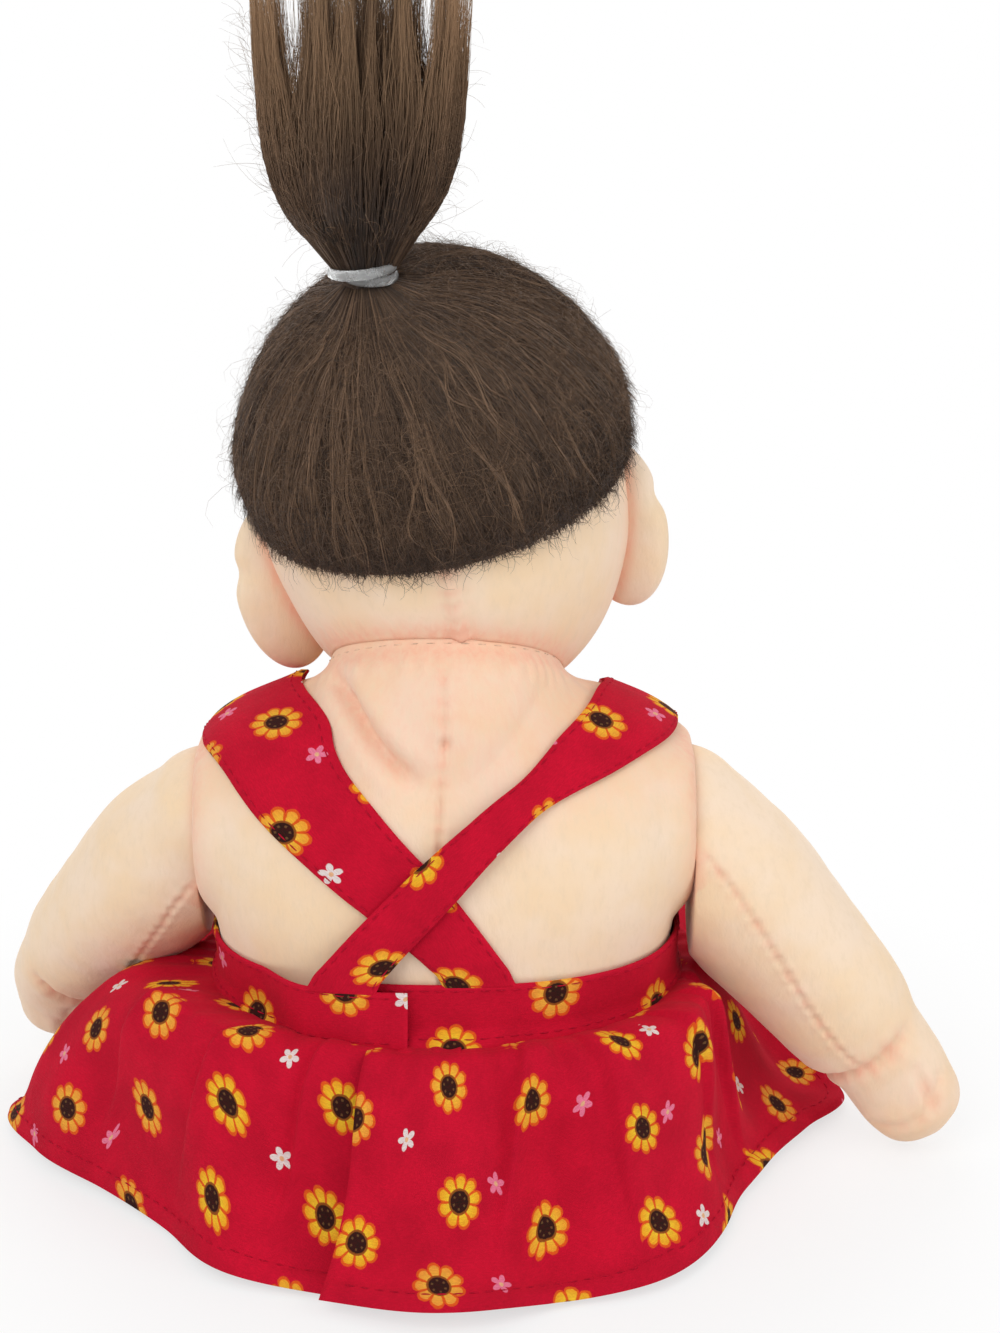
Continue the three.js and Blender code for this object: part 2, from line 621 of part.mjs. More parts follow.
// Arms: each group sits at its shoulder, with the arm hanging along its own -Z
function armShape(offset, bodySide, sides, steps) {
  const wrist = vec(0, 0, -ARM_LENGTH);
  const tip = wrist.clone().add(vec(-sin(HAND_BEND), 0, -cos(HAND_BEND)).multiplyScalar(HAND_LENGTH));
  const path = new THREE.CatmullRomCurve3([
    vec(0, 0, 0), vec(0, 0, -ARM_LENGTH * 0.4), vec(0, 0, -ARM_LENGTH * 0.75), wrist,
    wrist.clone().lerp(tip, 0.5), tip,
  ]);
  const [upper, narrow, palm] = [ARM_THICKNESS / 2, WRIST_THICKNESS / 2, HAND_WIDTH / 2];
  const wristShare = ARM_LENGTH / (ARM_LENGTH + HAND_LENGTH);
  const handShare = (share) => lerp(wristShare, 1, share);
  const radii = [
    [0, ARM_BALL * 0.97, 0],
    [wristShare * 0.35, upper, 0],
    [wristShare * 0.62, upper * 0.96, 0],
    [wristShare * 0.85, lerp(upper, narrow, 0.5), 0.3],
    [wristShare, narrow, 0.8],
    [handShare(0.35), palm, 1],
    [handShare(0.72), palm * 0.9, 1],
    [handShare(0.86), palm * 0.66, 1],
    [handShare(0.998 + Math.min(offset, 0) / HAND_LENGTH), palm * 0.12, 1],
  ];
  const thumb = tip.clone().lerp(wrist, 0.42).add(vec(palm * 0.35, -palm * HAND_FLATNESS * 0.75, 0));
  const hand = limb(path, radii, offset, HAND_FLATNESS, sides, steps);
  const lobe = ellipsoid(vec(1, 1, 1.7).multiplyScalar(THUMB_RADIUS + offset), thumb, 8);
  const flank = CHEST_WIDTH / 2 + SEAM_GAP * 2 - shoulders[0].x - offset;
  const shoulder = ball(ARM_BALL + offset, vec(0, 0, 0), bodySide, offset < 0 ? 10 : 14);
  return hand.add(lobe).trimByPlane(bodySide.toArray(), flank).add(shoulder);
}

function makeArm(name, side, spread, forward) {
  const group = new THREE.Group();
  group.position.copy(shoulders[side > 0 ? 0 : 1]);
  group.rotation.set(degToRad(-forward), degToRad(-side * spread), 0);
  group.updateMatrix();
  const outwards = vec(side, 0, 0).applyQuaternion(group.quaternion.clone().invert());
  const bodySide = vec(outwards.x * side, outwards.y, outwards.z);
  const mirrored = (manifold) => (side > 0 ? manifold : manifold.mirror([1, 0, 0]));
  const shape = (offset, sides, steps) => mirrored(armShape(offset, bodySide, sides, steps));
  const filling = rod(FILLING_HOLE, ARM_BALL * 2, vec(0, 0, 0), outwards.clone().negate());
  const cover = shape(0, 13, 12).subtract(shape(-FABRIC, 8, 8)).subtract(filling);
  group.add(piece(`${name}_arm_cover`, cover, skin()));
  group.add(piece(`${name}_arm_stuffing`, shape(-FABRIC - SEAM_GAP, 8, 8), fibre()));
  return group;
}

// Legs: each group sits at its hip, with the leg lying along its own -Y
function legShape(offset, hipAxis, sides, steps) {
  const path = new THREE.LineCurve3(vec(0, 0, 0), vec(0, -LEG_LENGTH, 0));
  const [thigh, ankle] = [THIGH_THICKNESS / 2, ANKLE_THICKNESS / 2];
  const radii = [
    [0, LEG_BALL * 0.9, 0],
    [0.25, thigh, 0],
    [0.55, lerp(thigh, ankle, 0.4), 0],
    [0.78, lerp(thigh, ankle, 0.55), 0],
    [1, ankle, 0],
  ];
  const rings = [];
  for (let i = 0; i <= steps; i += 1) {
    const [radius] = between(radii, i / steps);
    const centre = path.getPointAt(i / steps);
    const ring = [];
    for (let j = 0; j < sides; j += 1) {
      const angle = 360 * j / sides;
      ring.push(vec((radius + offset) * cos(angle), centre.y, (radius + offset) * sin(angle)));
    }
    rings.push(ring);
  }
  const halves = vec(FOOT_WIDTH / 2 + offset, FOOT_LENGTH / 2 + offset, FOOT_HEIGHT / 2 + offset);
  const sole = FOOT_HEIGHT / 2 - HEEL_FLAT - HIP_HEIGHT;
  const foot = ellipsoid(halves, vec(0, -LEG_LENGTH - FOOT_LENGTH * 0.3, sole), offset < 0 ? 10 : 14);
  const leg = solid(loft(rings)).add(foot).trimByPlane([0, 0, 1], -HIP_HEIGHT - offset);
  return leg.add(ball(LEG_BALL + offset, vec(0, 0, 0), hipAxis, offset < 0 ? 10 : 14));
}

function makeLeg(name, side) {
  const group = new THREE.Group();
  group.position.copy(hips[side > 0 ? 0 : 1]);
  group.rotation.z = degToRad(side * LEG_SPLAY);
  const filling = rod(FILLING_HOLE, LEG_BALL * 2, vec(0, 0, 0), vec(0, 1, 0));
  const hipAxis = vec(cos(LEG_SPLAY), -side * sin(LEG_SPLAY), 0);
  const cover = legShape(0, hipAxis, 13, 6).subtract(legShape(-FABRIC, hipAxis, 8, 4)).subtract(filling);
  group.add(piece(`${name}_leg_cover`, cover, skin()));
  group.add(piece(`${name}_leg_stuffing`, legShape(-FABRIC - SEAM_GAP, hipAxis, 8, 4), fibre()));
  return group;
}

// Dress: layers over the torso, from the inner band end outwards
const layer = (count, tapes) => SEAM_GAP + count * (COTTON + SEAM_GAP) + tapes * (TAPE + SEAM_GAP);
const bandTop = WAIST_HEIGHT + BAND_HEIGHT;
const bibTop = bandTop + SEAM_GAP + BIB_HEIGHT;

// The band runs from its outer end, over the closure, right round to its inner end
function makeWaistband() {
  const finish = 360 + BAND_END + BAND_LAP;
  const rampStart = BAND_END + BAND_LAP + 2;
  const point = (u, v, side) => {
    const angle = lerp(BAND_END, finish, u);
    const lift = (layer(1, 2) - layer(0, 0)) * (1 - smoothstep(angle, rampStart, rampStart + 16));
    const height = lerp(WAIST_HEIGHT, bandTop, v);
    return torsoPoint(angle, height, layer(0, 0) + lift + side * COTTON).setZ(height);
  };
  return sheet(point, 2, 46);
}

function makeTape(tapes) {
  const inner = layer(1, tapes);
  const point = (u, v, side) => torsoPoint(
    lerp(BAND_END + 3, BAND_END + BAND_LAP - 3, u),
    lerp(WAIST_HEIGHT + TAPE_INSET, bandTop - TAPE_INSET, v),
    inner + side * TAPE,
  );
  return sheet(point, 1, 4);
}

function makeBib() {
  const point = (u, v, side) => {
    const half = lerp(BIB_FOOT_ANGLE, BIB_TOP_ANGLE, v);
    const angle = lerp(180 - half, 180 + half, u);
    const foot = bandTop + SEAM_GAP;
    const place = torsoPoint(angle, lerp(foot, bibTop, v), layer(0, 0) + side * COTTON);
    return place.setZ(Math.max(place.z, foot));
  };
  return sheet(point, 4, 20);
}

// A strap from the back of the band over a shoulder to the bib, between a neck edge and an arm edge
// Rows of each edge: share along the strap, angle round the torso, height
const strapFoot = bandTop + SEAM_GAP;
const strapEnd = bibTop + SEAM_GAP;
const heightShare = (share) => share * TORSO_HEIGHT;
const LEFT_NECK_EDGE = [
  [0, -19, strapFoot], [0.24, 3, heightShare(0.745)], [0.44, 50, heightShare(0.95)],
  [0.58, 90, heightShare(0.978)], [0.74, 128, heightShare(0.945)], [1, 158, strapEnd],
];
const LEFT_ARM_EDGE = [
  [0, 0, strapFoot], [0.24, 21, heightShare(0.66)], [0.44, 58, heightShare(0.82)],
  [0.58, 90, heightShare(0.862)], [0.74, 118, heightShare(0.84)], [1, 139, strapEnd],
];
const RIGHT_NECK_EDGE = [
  [0, 29, strapFoot], [0.24, 4, heightShare(0.75)], [0.44, -52, heightShare(0.925)],
  [0.58, -90, heightShare(0.95)], [0.74, -130, heightShare(0.925)], [1, -157, strapEnd],
];
const RIGHT_ARM_EDGE = [
  [0, 14, strapFoot], [0.24, -5, heightShare(0.7)], [0.44, -59, heightShare(0.845)],
  [0.58, -90, heightShare(0.875)], [0.74, -122, heightShare(0.85)], [1, -142, strapEnd],
];

// The upper strap climbs over the lower one where they cross
function makeStrap(neckEdge, armEdge, climbs) {
  const lift = climbs ? layer(1, 0) - layer(0, 0) : 0;
  const point = (u, v, side) => {
    const [neckAngle, neckHeight] = between(neckEdge, u);
    const [armAngle, armHeight] = between(armEdge, u);
    const over = lift * smoothstep(u, 0, 0.06) * (1 - smoothstep(u, 0.33, 0.4));
    const offset = layer(0, 0) + over + side * COTTON;
    return torsoPoint(lerp(neckAngle, armAngle, v), lerp(neckHeight, armHeight, v), offset);
  };
  return sheet(point, 3, 28);
}

// Height of the thighs under a place on the lap, with room for the cloth over them
function lapHeight(x, y) {
  return Math.max(...hips.map((hip, i) => {
    const splay = i === 0 ? LEG_SPLAY : -LEG_SPLAY;
    const [dx, dy] = [x - hip.x, y - hip.y];
    const sideways = dx * cos(splay) + dy * sin(splay);
    const radius = Math.max(THIGH_THICKNESS / 2, LEG_BALL);
    const rise = Math.sqrt(Math.max(radius ** 2 - sideways ** 2, 0));
    return dy < LEG_BALL && rise > 0 ? hip.z + rise + SKIRT_LAP_CLEARANCE : 0;
  }));
}

// The skirt hangs from the band: out over a gathered crest, then down to the table or onto the lap
const SKIRT_PROFILE = [
  [0, 0, 0], [0.13, 0.14, 0], [0.3, 0.28, 0.17], [0.52, 0.46, 0.53], [0.76, 0.7, 0.85], [1, 1, 1],
];

// Rows of the hem: angle round the waist and share of the reach, with a drawn-out corner at each side
const SKIRT_HEM = [
  [-10, 0.98], [0, 1], [30, 0.88], [48, 0.77], [65, 0.82], [80, 1], [95, 1.27], [112, 0.8], [140, 0.9],
  [180, 1.03], [225, 0.92], [248, 0.95], [260, 1.12], [273, 0.8], [285, 0.63], [298, 0.62], [312, 0.77],
  [332, 0.92], [360, 1], [380, 0.97],
];

function makeSkirt() {
  const top = WAIST_HEIGHT - SEAM_GAP;
  const finish = 360 + SKIRT_OVER_END;
  const point = (u, v, side) => {
    const angle = lerp(SKIRT_UNDER_END, finish, u);
    const [out, down] = between(SKIRT_PROFILE, v);
    const drop = lerp(SKIRT_DROP_FRONT, SKIRT_DROP, smoothstep(cos(angle), -0.75, -0.15));
    const fold = cos(SKIRT_FOLDS * angle + 40 * sin(2 * angle)) * FOLD_DEPTH * smoothstep(v, 0.05, 0.6);
    const [share] = between(SKIRT_HEM, angle);
    const reach = SKIRT_REACH * share * out + fold;
    const over = (COTTON + SEAM_GAP * 2) * smoothstep(angle, 340, 354);
    const waist = torsoPoint(angle, top, layer(0, 0) + over);
    const plan = vec(sin(angle), cos(angle), 0);
    const place = waist.clone().addScaledVector(plan, reach + side * COTTON * (1 - v * 0.6));
    const hang = top - drop * down + fold * 0.4 * v + over * v;
    const floor = Math.max(SKIRT_FLOOR + over * v, lapHeight(place.x, place.y) * smoothstep(v, 0.1, 0.3));
    place.z = Math.max(hang, floor) + side * COTTON * v;
    return place;
  };
  return sheet(point, 6, 58);
}

function makeDress() {
  const group = new THREE.Group();
  group.add(piece('waistband', makeWaistband(), red()));
  group.add(piece('loop_strip', makeTape(0), cloth(0xc22a3c)));
  group.add(piece('hook_strip', makeTape(1), cloth(0xa81e30)));
  group.add(piece('bodice_front', makeBib(), red()));
  group.add(piece('left_strap', makeStrap(LEFT_NECK_EDGE, LEFT_ARM_EDGE, false), red()));
  group.add(piece('right_strap', makeStrap(RIGHT_NECK_EDGE, RIGHT_ARM_EDGE, true), red()));
  group.add(piece('skirt', makeSkirt(), red()));
  return group;
}

const doll = new THREE.Group();
doll.add(makeTorso());
doll.add(makeHead());
doll.add(makeArm('left', 1, LEFT_ARM_SPREAD, LEFT_ARM_FORWARD));
doll.add(makeArm('right', -1, RIGHT_ARM_SPREAD, RIGHT_ARM_FORWARD));
doll.add(makeLeg('left', 1));
doll.add(makeLeg('right', -1));
doll.add(makeDress());
console.log(`least gap between the elastic's strands: ${elasticGap().toFixed(2)} mm`);

export default doll;
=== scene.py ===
"""A plush doll in a printed cotton sundress, sitting with its back to the camera.

Each sewn piece is built here in millimetres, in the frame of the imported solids, and handed over in metres.
+Z is up, the doll faces -Y, and its left hand is at +X, which is the left of the picture.
"""

import math

import bpy
import numpy as np
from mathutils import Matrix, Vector


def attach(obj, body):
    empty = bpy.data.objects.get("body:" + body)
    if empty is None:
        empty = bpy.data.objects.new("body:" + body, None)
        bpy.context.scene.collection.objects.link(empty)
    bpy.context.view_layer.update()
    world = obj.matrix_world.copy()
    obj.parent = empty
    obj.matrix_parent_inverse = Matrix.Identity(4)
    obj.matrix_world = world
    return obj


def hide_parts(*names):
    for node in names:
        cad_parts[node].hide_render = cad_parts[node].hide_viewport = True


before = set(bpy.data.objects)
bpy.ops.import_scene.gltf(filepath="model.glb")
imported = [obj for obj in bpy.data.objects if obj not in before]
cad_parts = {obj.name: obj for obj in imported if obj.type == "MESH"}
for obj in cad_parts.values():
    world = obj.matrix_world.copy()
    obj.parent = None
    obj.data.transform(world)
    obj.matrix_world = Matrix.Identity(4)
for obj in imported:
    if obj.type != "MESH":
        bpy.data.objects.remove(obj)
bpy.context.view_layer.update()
MM = 0.001
SIDE_NAMES = {1: "left", -1: "right"}
rng = np.random.default_rng(11)

# Camera and lamps
CAMERA_TARGET = (-9.6, 0.0, 90.6)
CAMERA_DISTANCE = 430
CAMERA_ELEVATION = 18
CAMERA_LENS = 66.4
# Rows: name, place, target and size in metres, and power of each lamp
LAMPS = [
    ["key_lamp", (0.35, 0.6, 0.75), (0, 0, 0.08), 0.7, 3.7],
    ["fill_lamp", (-0.7, 0.35, 0.45), (0, 0, 0.08), 0.8, 2.1],
    ["front_lamp", (0.1, -0.8, 0.6), (0, 0, 0.1), 0.8, 3.0],
]

# Torso
TORSO_HEIGHT = 90
CHEST_WIDTH = 86
BELLY_DEPTH = 32
BACK_DEPTH = 33
# Rows: share of the height, half width, front depth, back depth, and how square the section is
TORSO_SECTIONS = [
    [0, 0.58, 0.38, 0.61, 2], [0.033, 0.72, 0.47, 0.79, 2], [0.11, 0.86, 0.55, 0.92, 2.1],
    [0.22, 0.93, 0.58, 0.985, 2.2], [0.31, 0.95, 0.62, 1, 2.2], [0.38, 0.94, 0.84, 0.985, 2.2],
    [0.47, 0.94, 0.985, 0.955, 2.4], [0.6, 0.985, 1, 0.94, 2.7], [0.71, 1, 0.955, 0.895, 2.9],
    [0.8, 1, 0.86, 0.835, 2.8], [0.865, 0.97, 0.735, 0.745, 2.5], [0.91, 0.87, 0.625, 0.68, 2.2],
    [0.955, 0.67, 0.53, 0.62, 2.05], [1, 0.48, 0.44, 0.545, 2],
]

# Neck and head
# Rows of the tension fold below the neck: angle round the torso and height
NAPE_FOLD = [[54, 92], [40, 90], [28, 87.2], [18, 83.8], [10, 80], [4, 76]]
NECK_CENTRE = np.array([0.0, 2.0, 83.0])
NECK_RADIUS = 22
NECK_LEAN = 28
NECK_OPENING = 67
NECK_CLEAR = 71.5
NECK_CLEAR_STEP = 1.5
HEAD_WIDTH = 65
HEAD_DEPTH = 70
HEAD_HEIGHT = 76
HEAD_ROLL = 10.5
CHEEK_SWELL = 2.2

# Hair
HAIR_PILE = 4
HAIR_MOUND = 2
HAIRLINE_TILT = 13
HAIRLINE_HEIGHT = 5
TIE_BACK = 15
TIE_SIDE = 5
TIE_HEIGHT = 4.5
PONYTAIL_LENGTH = 61
PONYTAIL_WIDTH = 37
PONYTAIL_DEPTH = 27
PONYTAIL_NECK = 2.8
PONYTAIL_SIDE_LEAN = -8
PONYTAIL_BACK_LEAN = 6
ELASTIC_WIDTH = 1.8
ELASTIC_FLATNESS = 0.65
ELASTIC_LOOPS = 2
ELASTIC_STRAND_GAP = 0.4

# Face and ears
EYE_RADIUS = 4.2
EYE_RISE = 2.6
EYE_AZIMUTH = 25
EYE_ELEVATION = -5
NOSE_WIDTH = 9
NOSE_HEIGHT = 7
NOSE_ELEVATION = -15
MOUTH_HALF_ANGLE = 14
MOUTH_ELEVATION = -32
EAR_HEIGHT = 31
EAR_REACH = 9
EAR_THICKNESS = 8.4
EAR_DROP = 10.4
EAR_SWEEP = 24

# Arms and legs
ARM_BALL = 12.5
ARM_LENGTH = 57
ARM_THICKNESS = 29.5
WRIST_THICKNESS = 20
HAND_LENGTH = 21
HAND_WIDTH = 19
HAND_BEND = {1: 24, -1: 5}
HAND_FLATNESS = 0.82
THUMB_RADIUS = 4.2
SHOULDER = np.array([41.0, 2.0, 63.9])
ARM_SPREAD = {1: 34, -1: 40}
ARM_FORWARD = {1: 32, -1: -4}
LEG_BALL = 13
LEG_LENGTH = 56
THIGH_THICKNESS = 26.4
ANKLE_THICKNESS = 21
FOOT_HEIGHT = 36
FOOT_WIDTH = 23
FOOT_LENGTH = 20
HEEL_FLAT = 0.5
HIP = np.array([20.0, -24.0, 14.5])
LEG_SPLAY = 22

# Dress
SEAM_GAP = 0.3
COTTON = 1.0
TAPE = 0.7
TAPE_INSET = 1.2
WAIST_HEIGHT = 34.7
BAND_HEIGHT = 10
BAND_END = 8
BAND_LAP = 20
BIB_HEIGHT = 27
BIB_TOP_ANGLE = 46
BIB_FOOT_ANGLE = 62
SKIRT_REACH = 31.5
SKIRT_DROP = 33.2
SKIRT_DROP_FRONT = 5
SKIRT_FOLDS = 9
CREST_RISE = 3
CREST_REACH = 4
FOLD_DEPTH = 1.3
SKIRT_UNDER_END = -4
SKIRT_OVER_END = 16
SKIRT_FLOOR = 0.6
SKIRT_LAP_CLEARANCE = 1.2
# Rows of both profiles: share of the way from waist to hem, share of the reach, share of the drop
SKIRT_PROFILE = [
    [0, 0, 0], [0.13, 0.14, 0], [0.3, 0.28, 0.17], [0.52, 0.46, 0.53], [0.76, 0.7, 0.85], [1, 1, 1],
]
# Rows: angle round the waist and share of the reach, with a drawn-out corner at each side
SKIRT_HEM = [
    [-10, 0.93], [0, 0.93], [15, 0.9], [30, 0.85], [48, 0.74], [65, 0.79], [80, 1.06], [95, 1.34],
    [112, 0.78], [140, 0.86], [180, 0.98], [225, 0.88], [248, 0.93], [260, 1.15], [273, 0.79],
    [285, 0.6], [298, 0.59], [312, 0.74], [332, 0.93], [360, 1], [380, 0.97],
]
# Rows: angle at the waist, angle at the hem, depth and width in degrees of each pleat
PLEATS = [
    [24, 27, 2.0, 4], [39, 47, 2.4, 4], [61, 68, 2.2, 5], [297, 291, 2.8, 5], [311, 306, 2.0, 4],
    [330, 330, 1.4, 3], [342, 355, 2.2, 3.5],
]
# At each side the cloth first stands out from the band and then falls
DOME_PROFILE = [
    [0, 0, 0], [0.13, 0.2, -0.02], [0.3, 0.42, 0.0], [0.52, 0.68, 0.2], [0.76, 0.88, 0.6], [1, 1, 1],
]
# The print repeats at these pitches, and the cloth has a thread each way at the last one
PRINT_ACROSS = 20.0
PRINT_DOWN = 17.5
THREAD_PITCH = 0.42
# Where each piece is cut from the printed cloth, along and across it
CUT_FROM = {"waistband": (40.0, 6.0), "bodice": (11.0, 4.0), "left": (9.0, 5.0), "right": (3.0, 5.0)}

# Colours, linear
SKIN = (0.87, 0.68, 0.485)
# Pink of the blush, and of the painted shade along the seams and creases
SKIN_BLUSH_AND_SHADE = (0.84, 0.43, 0.3)
RED = (0.62, 0.005, 0.03)
RED_DEEP = (0.5, 0.004, 0.024)
HAIR_DARK = (0.037, 0.02, 0.012)
HAIR_LIGHT = (0.27, 0.162, 0.097)
HAIR_TIP = (0.48, 0.29, 0.155)
PETAL_EDGE = (0.75, 0.1, 0.012)
PETAL_GOLD = (0.88, 0.55, 0.03)
PETAL_ORANGE = (0.86, 0.38, 0.02)
PETAL_CORAL = (0.86, 0.24, 0.08)
FLOWER_RIM = (0.28, 0.08, 0.012)
FLOWER_HEART = (0.016, 0.009, 0.006)
FLOWER_SEED = (0.2, 0.11, 0.04)
BLOSSOM_WHITE = (0.8, 0.7, 0.68)
BLOSSOM_PINK = (0.82, 0.2, 0.32)
BLOSSOM_HEART = (0.8, 0.45, 0.25)
SLUB = (0.12, 0.002, 0.008)


# Numbers and tables
def sin(angle):
    return np.sin(np.radians(angle))


def cos(angle):
    return np.cos(np.radians(angle))


def mix(a, b, share):
    return a + (b - a) * share


def smooth(x, low, high):
    t = np.clip((np.asarray(x, float) - low) / (high - low), 0, 1)
    return t * t * (3 - 2 * t)


def unit(vectors):
    vectors = np.asarray(vectors, float)
    return vectors / np.maximum(np.linalg.norm(vectors, axis=-1, keepdims=True), 1e-9)


def between(table, x):
    """A smooth curve through the rows of a table, each row a position and its values."""
    rows = np.array(table, float)
    x = np.asarray(x, float)
    i = np.clip(np.searchsorted(rows[:, 0], x) - 1, 0, len(rows) - 2)
    before, start, end, after = (rows[np.clip(i + k, 0, len(rows) - 1)] for k in (-1, 0, 1, 2))
    span = (end[..., :1] - start[..., :1])
    t = np.clip((x[..., None] - start[..., :1]) / span, 0, 1)
    slope_in = (end - before) / (end[..., :1] - before[..., :1]) * span
    slope_out = (after - start) / (after[..., :1] - start[..., :1]) * span
    value = start * (2 * t**3 - 3 * t**2 + 1) + slope_in * (t**3 - 2 * t**2 + t)
    value = value + end * (3 * t**2 - 2 * t**3) + slope_out * (t**3 - t**2)
    return np.moveaxis(value[..., 1:], -1, 0)


def lengths_along(line):
    """How far along a line of points each of them is."""
    return np.concatenate([[0], np.cumsum(np.linalg.norm(np.diff(line, axis=0), axis=1))])


def turn_x(angle):
    return np.array([[1, 0, 0], [0, cos(angle), -sin(angle)], [0, sin(angle), cos(angle)]])


def turn_y(angle):
    return np.array([[cos(angle), 0, sin(angle)], [0, 1, 0], [-sin(angle), 0, cos(angle)]])


def turn_z(angle):
    return np.array([[cos(angle), -sin(angle), 0], [sin(angle), cos(angle), 0], [0, 0, 1]])


def ripple(points, pitch, seed):
    """A soft random field over points, from -1 to 1, that changes over about one pitch."""
    draw = np.random.default_rng(seed)
    total = np.zeros(len(points))
    for _ in range(7):
        direction = unit(draw.normal(size=3)) * draw.uniform(0.6, 1.5)
        total += np.sin(points @ direction * 2 * math.pi / pitch + draw.uniform(0, 6.28))
    return total / 4


# Meshes
def mesh_from(name, points, face_sets, marks=None):
    """A smooth-shaded mesh in metres from points in millimetres.

    Each set of faces has one number of corners.
    """
    face_sets = [np.asarray(faces, np.int32) for faces in face_sets if len(faces)]
    starts = np.cumsum([0] + [faces.size for faces in face_sets])
    mesh = bpy.data.meshes.new(name)
    mesh.vertices.add(len(points))
    mesh.vertices.foreach_set("co", (np.asarray(points) * MM).astype(np.float32).ravel())
    mesh.loops.add(int(starts[-1]))
    mesh.loops.foreach_set("vertex_index", np.concatenate([faces.ravel() for faces in face_sets]))
    mesh.polygons.add(sum(len(faces) for faces in face_sets))
    loop_starts = [s + np.arange(0, f.size, f.shape[1]) for s, f in zip(starts, face_sets)]
    mesh.polygons.foreach_set("loop_start", np.concatenate(loop_starts).astype(np.int32))
    mesh.polygons.foreach_set("use_smooth", np.ones(len(mesh.polygons), bool))
    mesh.update(calc_edges=True)
    mesh.validate()
    for key, values in (marks or {}).items():
        set_mark(mesh, key, values)
    return mesh


def set_mark(mesh, key, values):
    """Stores a number, or a vector, at each point for the materials."""
    values = np.asarray(values, np.float32)
    kind, field = ("FLOAT_VECTOR", "vector") if values.ndim == 2 else ("FLOAT", "value")
    mesh.attributes.new(key, kind, "POINT").data.foreach_set(field, values.ravel())


def add_object(name, mesh):
    obj = bpy.data.objects.new(name, mesh)
    bpy.context.scene.collection.objects.link(obj)
    return obj


def coordinates(mesh):
    points = np.empty(len(mesh.vertices) * 3, np.float32)
    mesh.vertices.foreach_get("co", points)
    return points.reshape(-1, 3).astype(float) / MM


def normals_of(mesh):
    normals = np.empty(len(mesh.vertices) * 3, np.float32)
    mesh.vertex_normals.foreach_get("vector", normals)
    return normals.reshape(-1, 3).astype(float)


def move_points(mesh, points):
    mesh.vertices.foreach_set("co", (points * MM).astype(np.float32).ravel())
    mesh.update()


def push(mesh, points, amount):
    """Points moved along the normals of a skin."""
    return points + normals_of(mesh) * amount[:, None]


def ring_faces(rings, sides):
    """Quads between rings that close round, and the two fans that close the ends on added end points."""
    i, j = np.meshgrid(np.arange(rings - 1), np.arange(sides), indexing="ij")
    a, b = i * sides + j, i * sides + (j + 1) % sides
    quads = np.stack([a, b, b + sides, a + sides], -1).reshape(-1, 4)
    k = np.arange(sides)
    last = (rings - 1) * sides
    first_fan = np.stack([np.full(sides, rings * sides), (k + 1) % sides, k], -1)
    last_fan = np.stack([np.full(sides, rings * sides + 1), last + k, last + (k + 1) % sides], -1)
    return quads, np.concatenate([first_fan, last_fan])


def shell(rings):
    """Points and faces of a closed loft through rings, given as (rings, sides, 3)."""
    rings = np.asarray(rings, float)
    points = np.concatenate([rings.reshape(-1, 3), rings[0].mean(0)[None], rings[-1].mean(0)[None]])
    return points, ring_faces(*rings.shape[:2])


def globe(centre, halves, sides=40, steps=26):
    lat = np.linspace(-88, 88, steps)[:, None]
    lon = np.linspace(0, 360, sides, endpoint=False)[None, :]
    grid = np.stack([cos(lat) * cos(lon), cos(lat) * sin(lon), sin(lat) * np.ones_like(lon)], -1)
    return shell(grid * np.asarray(halves) + np.asarray(centre))


def evaluated(obj):
    """The object's mesh with its modifiers applied."""
    graph = bpy.context.evaluated_depsgraph_get()
    mesh = bpy.data.meshes.new_from_object(obj.evaluated_get(graph))
    obj.modifiers.clear()
    obj.data = mesh
    return mesh


def fuse(name, shells, voxel, passes):
    """One soft skin round several closed shells."""
    points, quads, fans, count = [], [], [], 0
    for part_points, (part_quads, part_fans) in shells:
        points.append(part_points)
        quads.append(part_quads + count)
        fans.append(part_fans + count)
        count += len(part_points)
    mesh = mesh_from(name, np.concatenate(points), [np.concatenate(quads), np.concatenate(fans)])
    obj = add_object(name, mesh)
    remesh = obj.modifiers.new("skin", "REMESH")
    remesh.mode = "VOXEL"
    remesh.voxel_size = voxel * MM
    remesh.use_smooth_shade = True
    soften = obj.modifiers.new("soften", "SMOOTH")
    soften.factor = 0.5
    soften.iterations = passes
    bpy.context.view_layer.update()
    evaluated(obj)
    return obj


# Seams
def seam_field(points, line):
    """Distance of each point from a line of points, and how far along the line its nearest place is."""
    line = np.asarray(line, float)
    best = np.full(len(points), 1e9)
    along = np.zeros(len(points))
    travelled = 0.0
    for start, end in zip(line[:-1], line[1:]):
        step = end - start
        length = np.linalg.norm(step)
        t = np.clip((points - start) @ step / length**2, 0, 1)
        apart = np.linalg.norm(points - start - t[:, None] * step, axis=1)
        nearer = apart < best
        best = np.where(nearer, apart, best)
        along = np.where(nearer, travelled + t * length, along)
        travelled += length
    return best, along, travelled


def sew(mesh, line, depth=0.7, width=0.9, pucker=0.16, blush_and_painted_shade=1.0):
    """Presses a seam into a mesh along a line and gives the pink painted shade of its crease beside it."""
    points = coordinates(mesh)
    apart, along, length = seam_field(points, line)
    ends = smooth(along, 0, 3) * (1 - smooth(along, length - 3, length)) * 0.6 + 0.4
    press = -depth * np.exp(-(apart / width) ** 2)
    swell = depth * 0.32 * np.exp(-((apart - 2.4 * width) / (1.4 * width)) ** 2)
    wave = pucker * np.sin(along * 2.3 + 0.7 * np.sin(along * 0.9)) * np.exp(-(apart / (2.6 * width)) ** 2)
    move_points(mesh, push(mesh, points, (press + swell + wave) * ends))
    # The pink beside the seam is painted shade of the crease
    glow = np.exp(-(apart / (1.7 * width)) ** 2) * 0.8 + 0.3 * np.exp(-(apart / (5 * width)) ** 2)
    patchy = 0.7 + 0.3 * np.sin(along * 1.7 + 1.3 * np.sin(along * 0.6))
    return blush_and_painted_shade * glow * patchy * ends


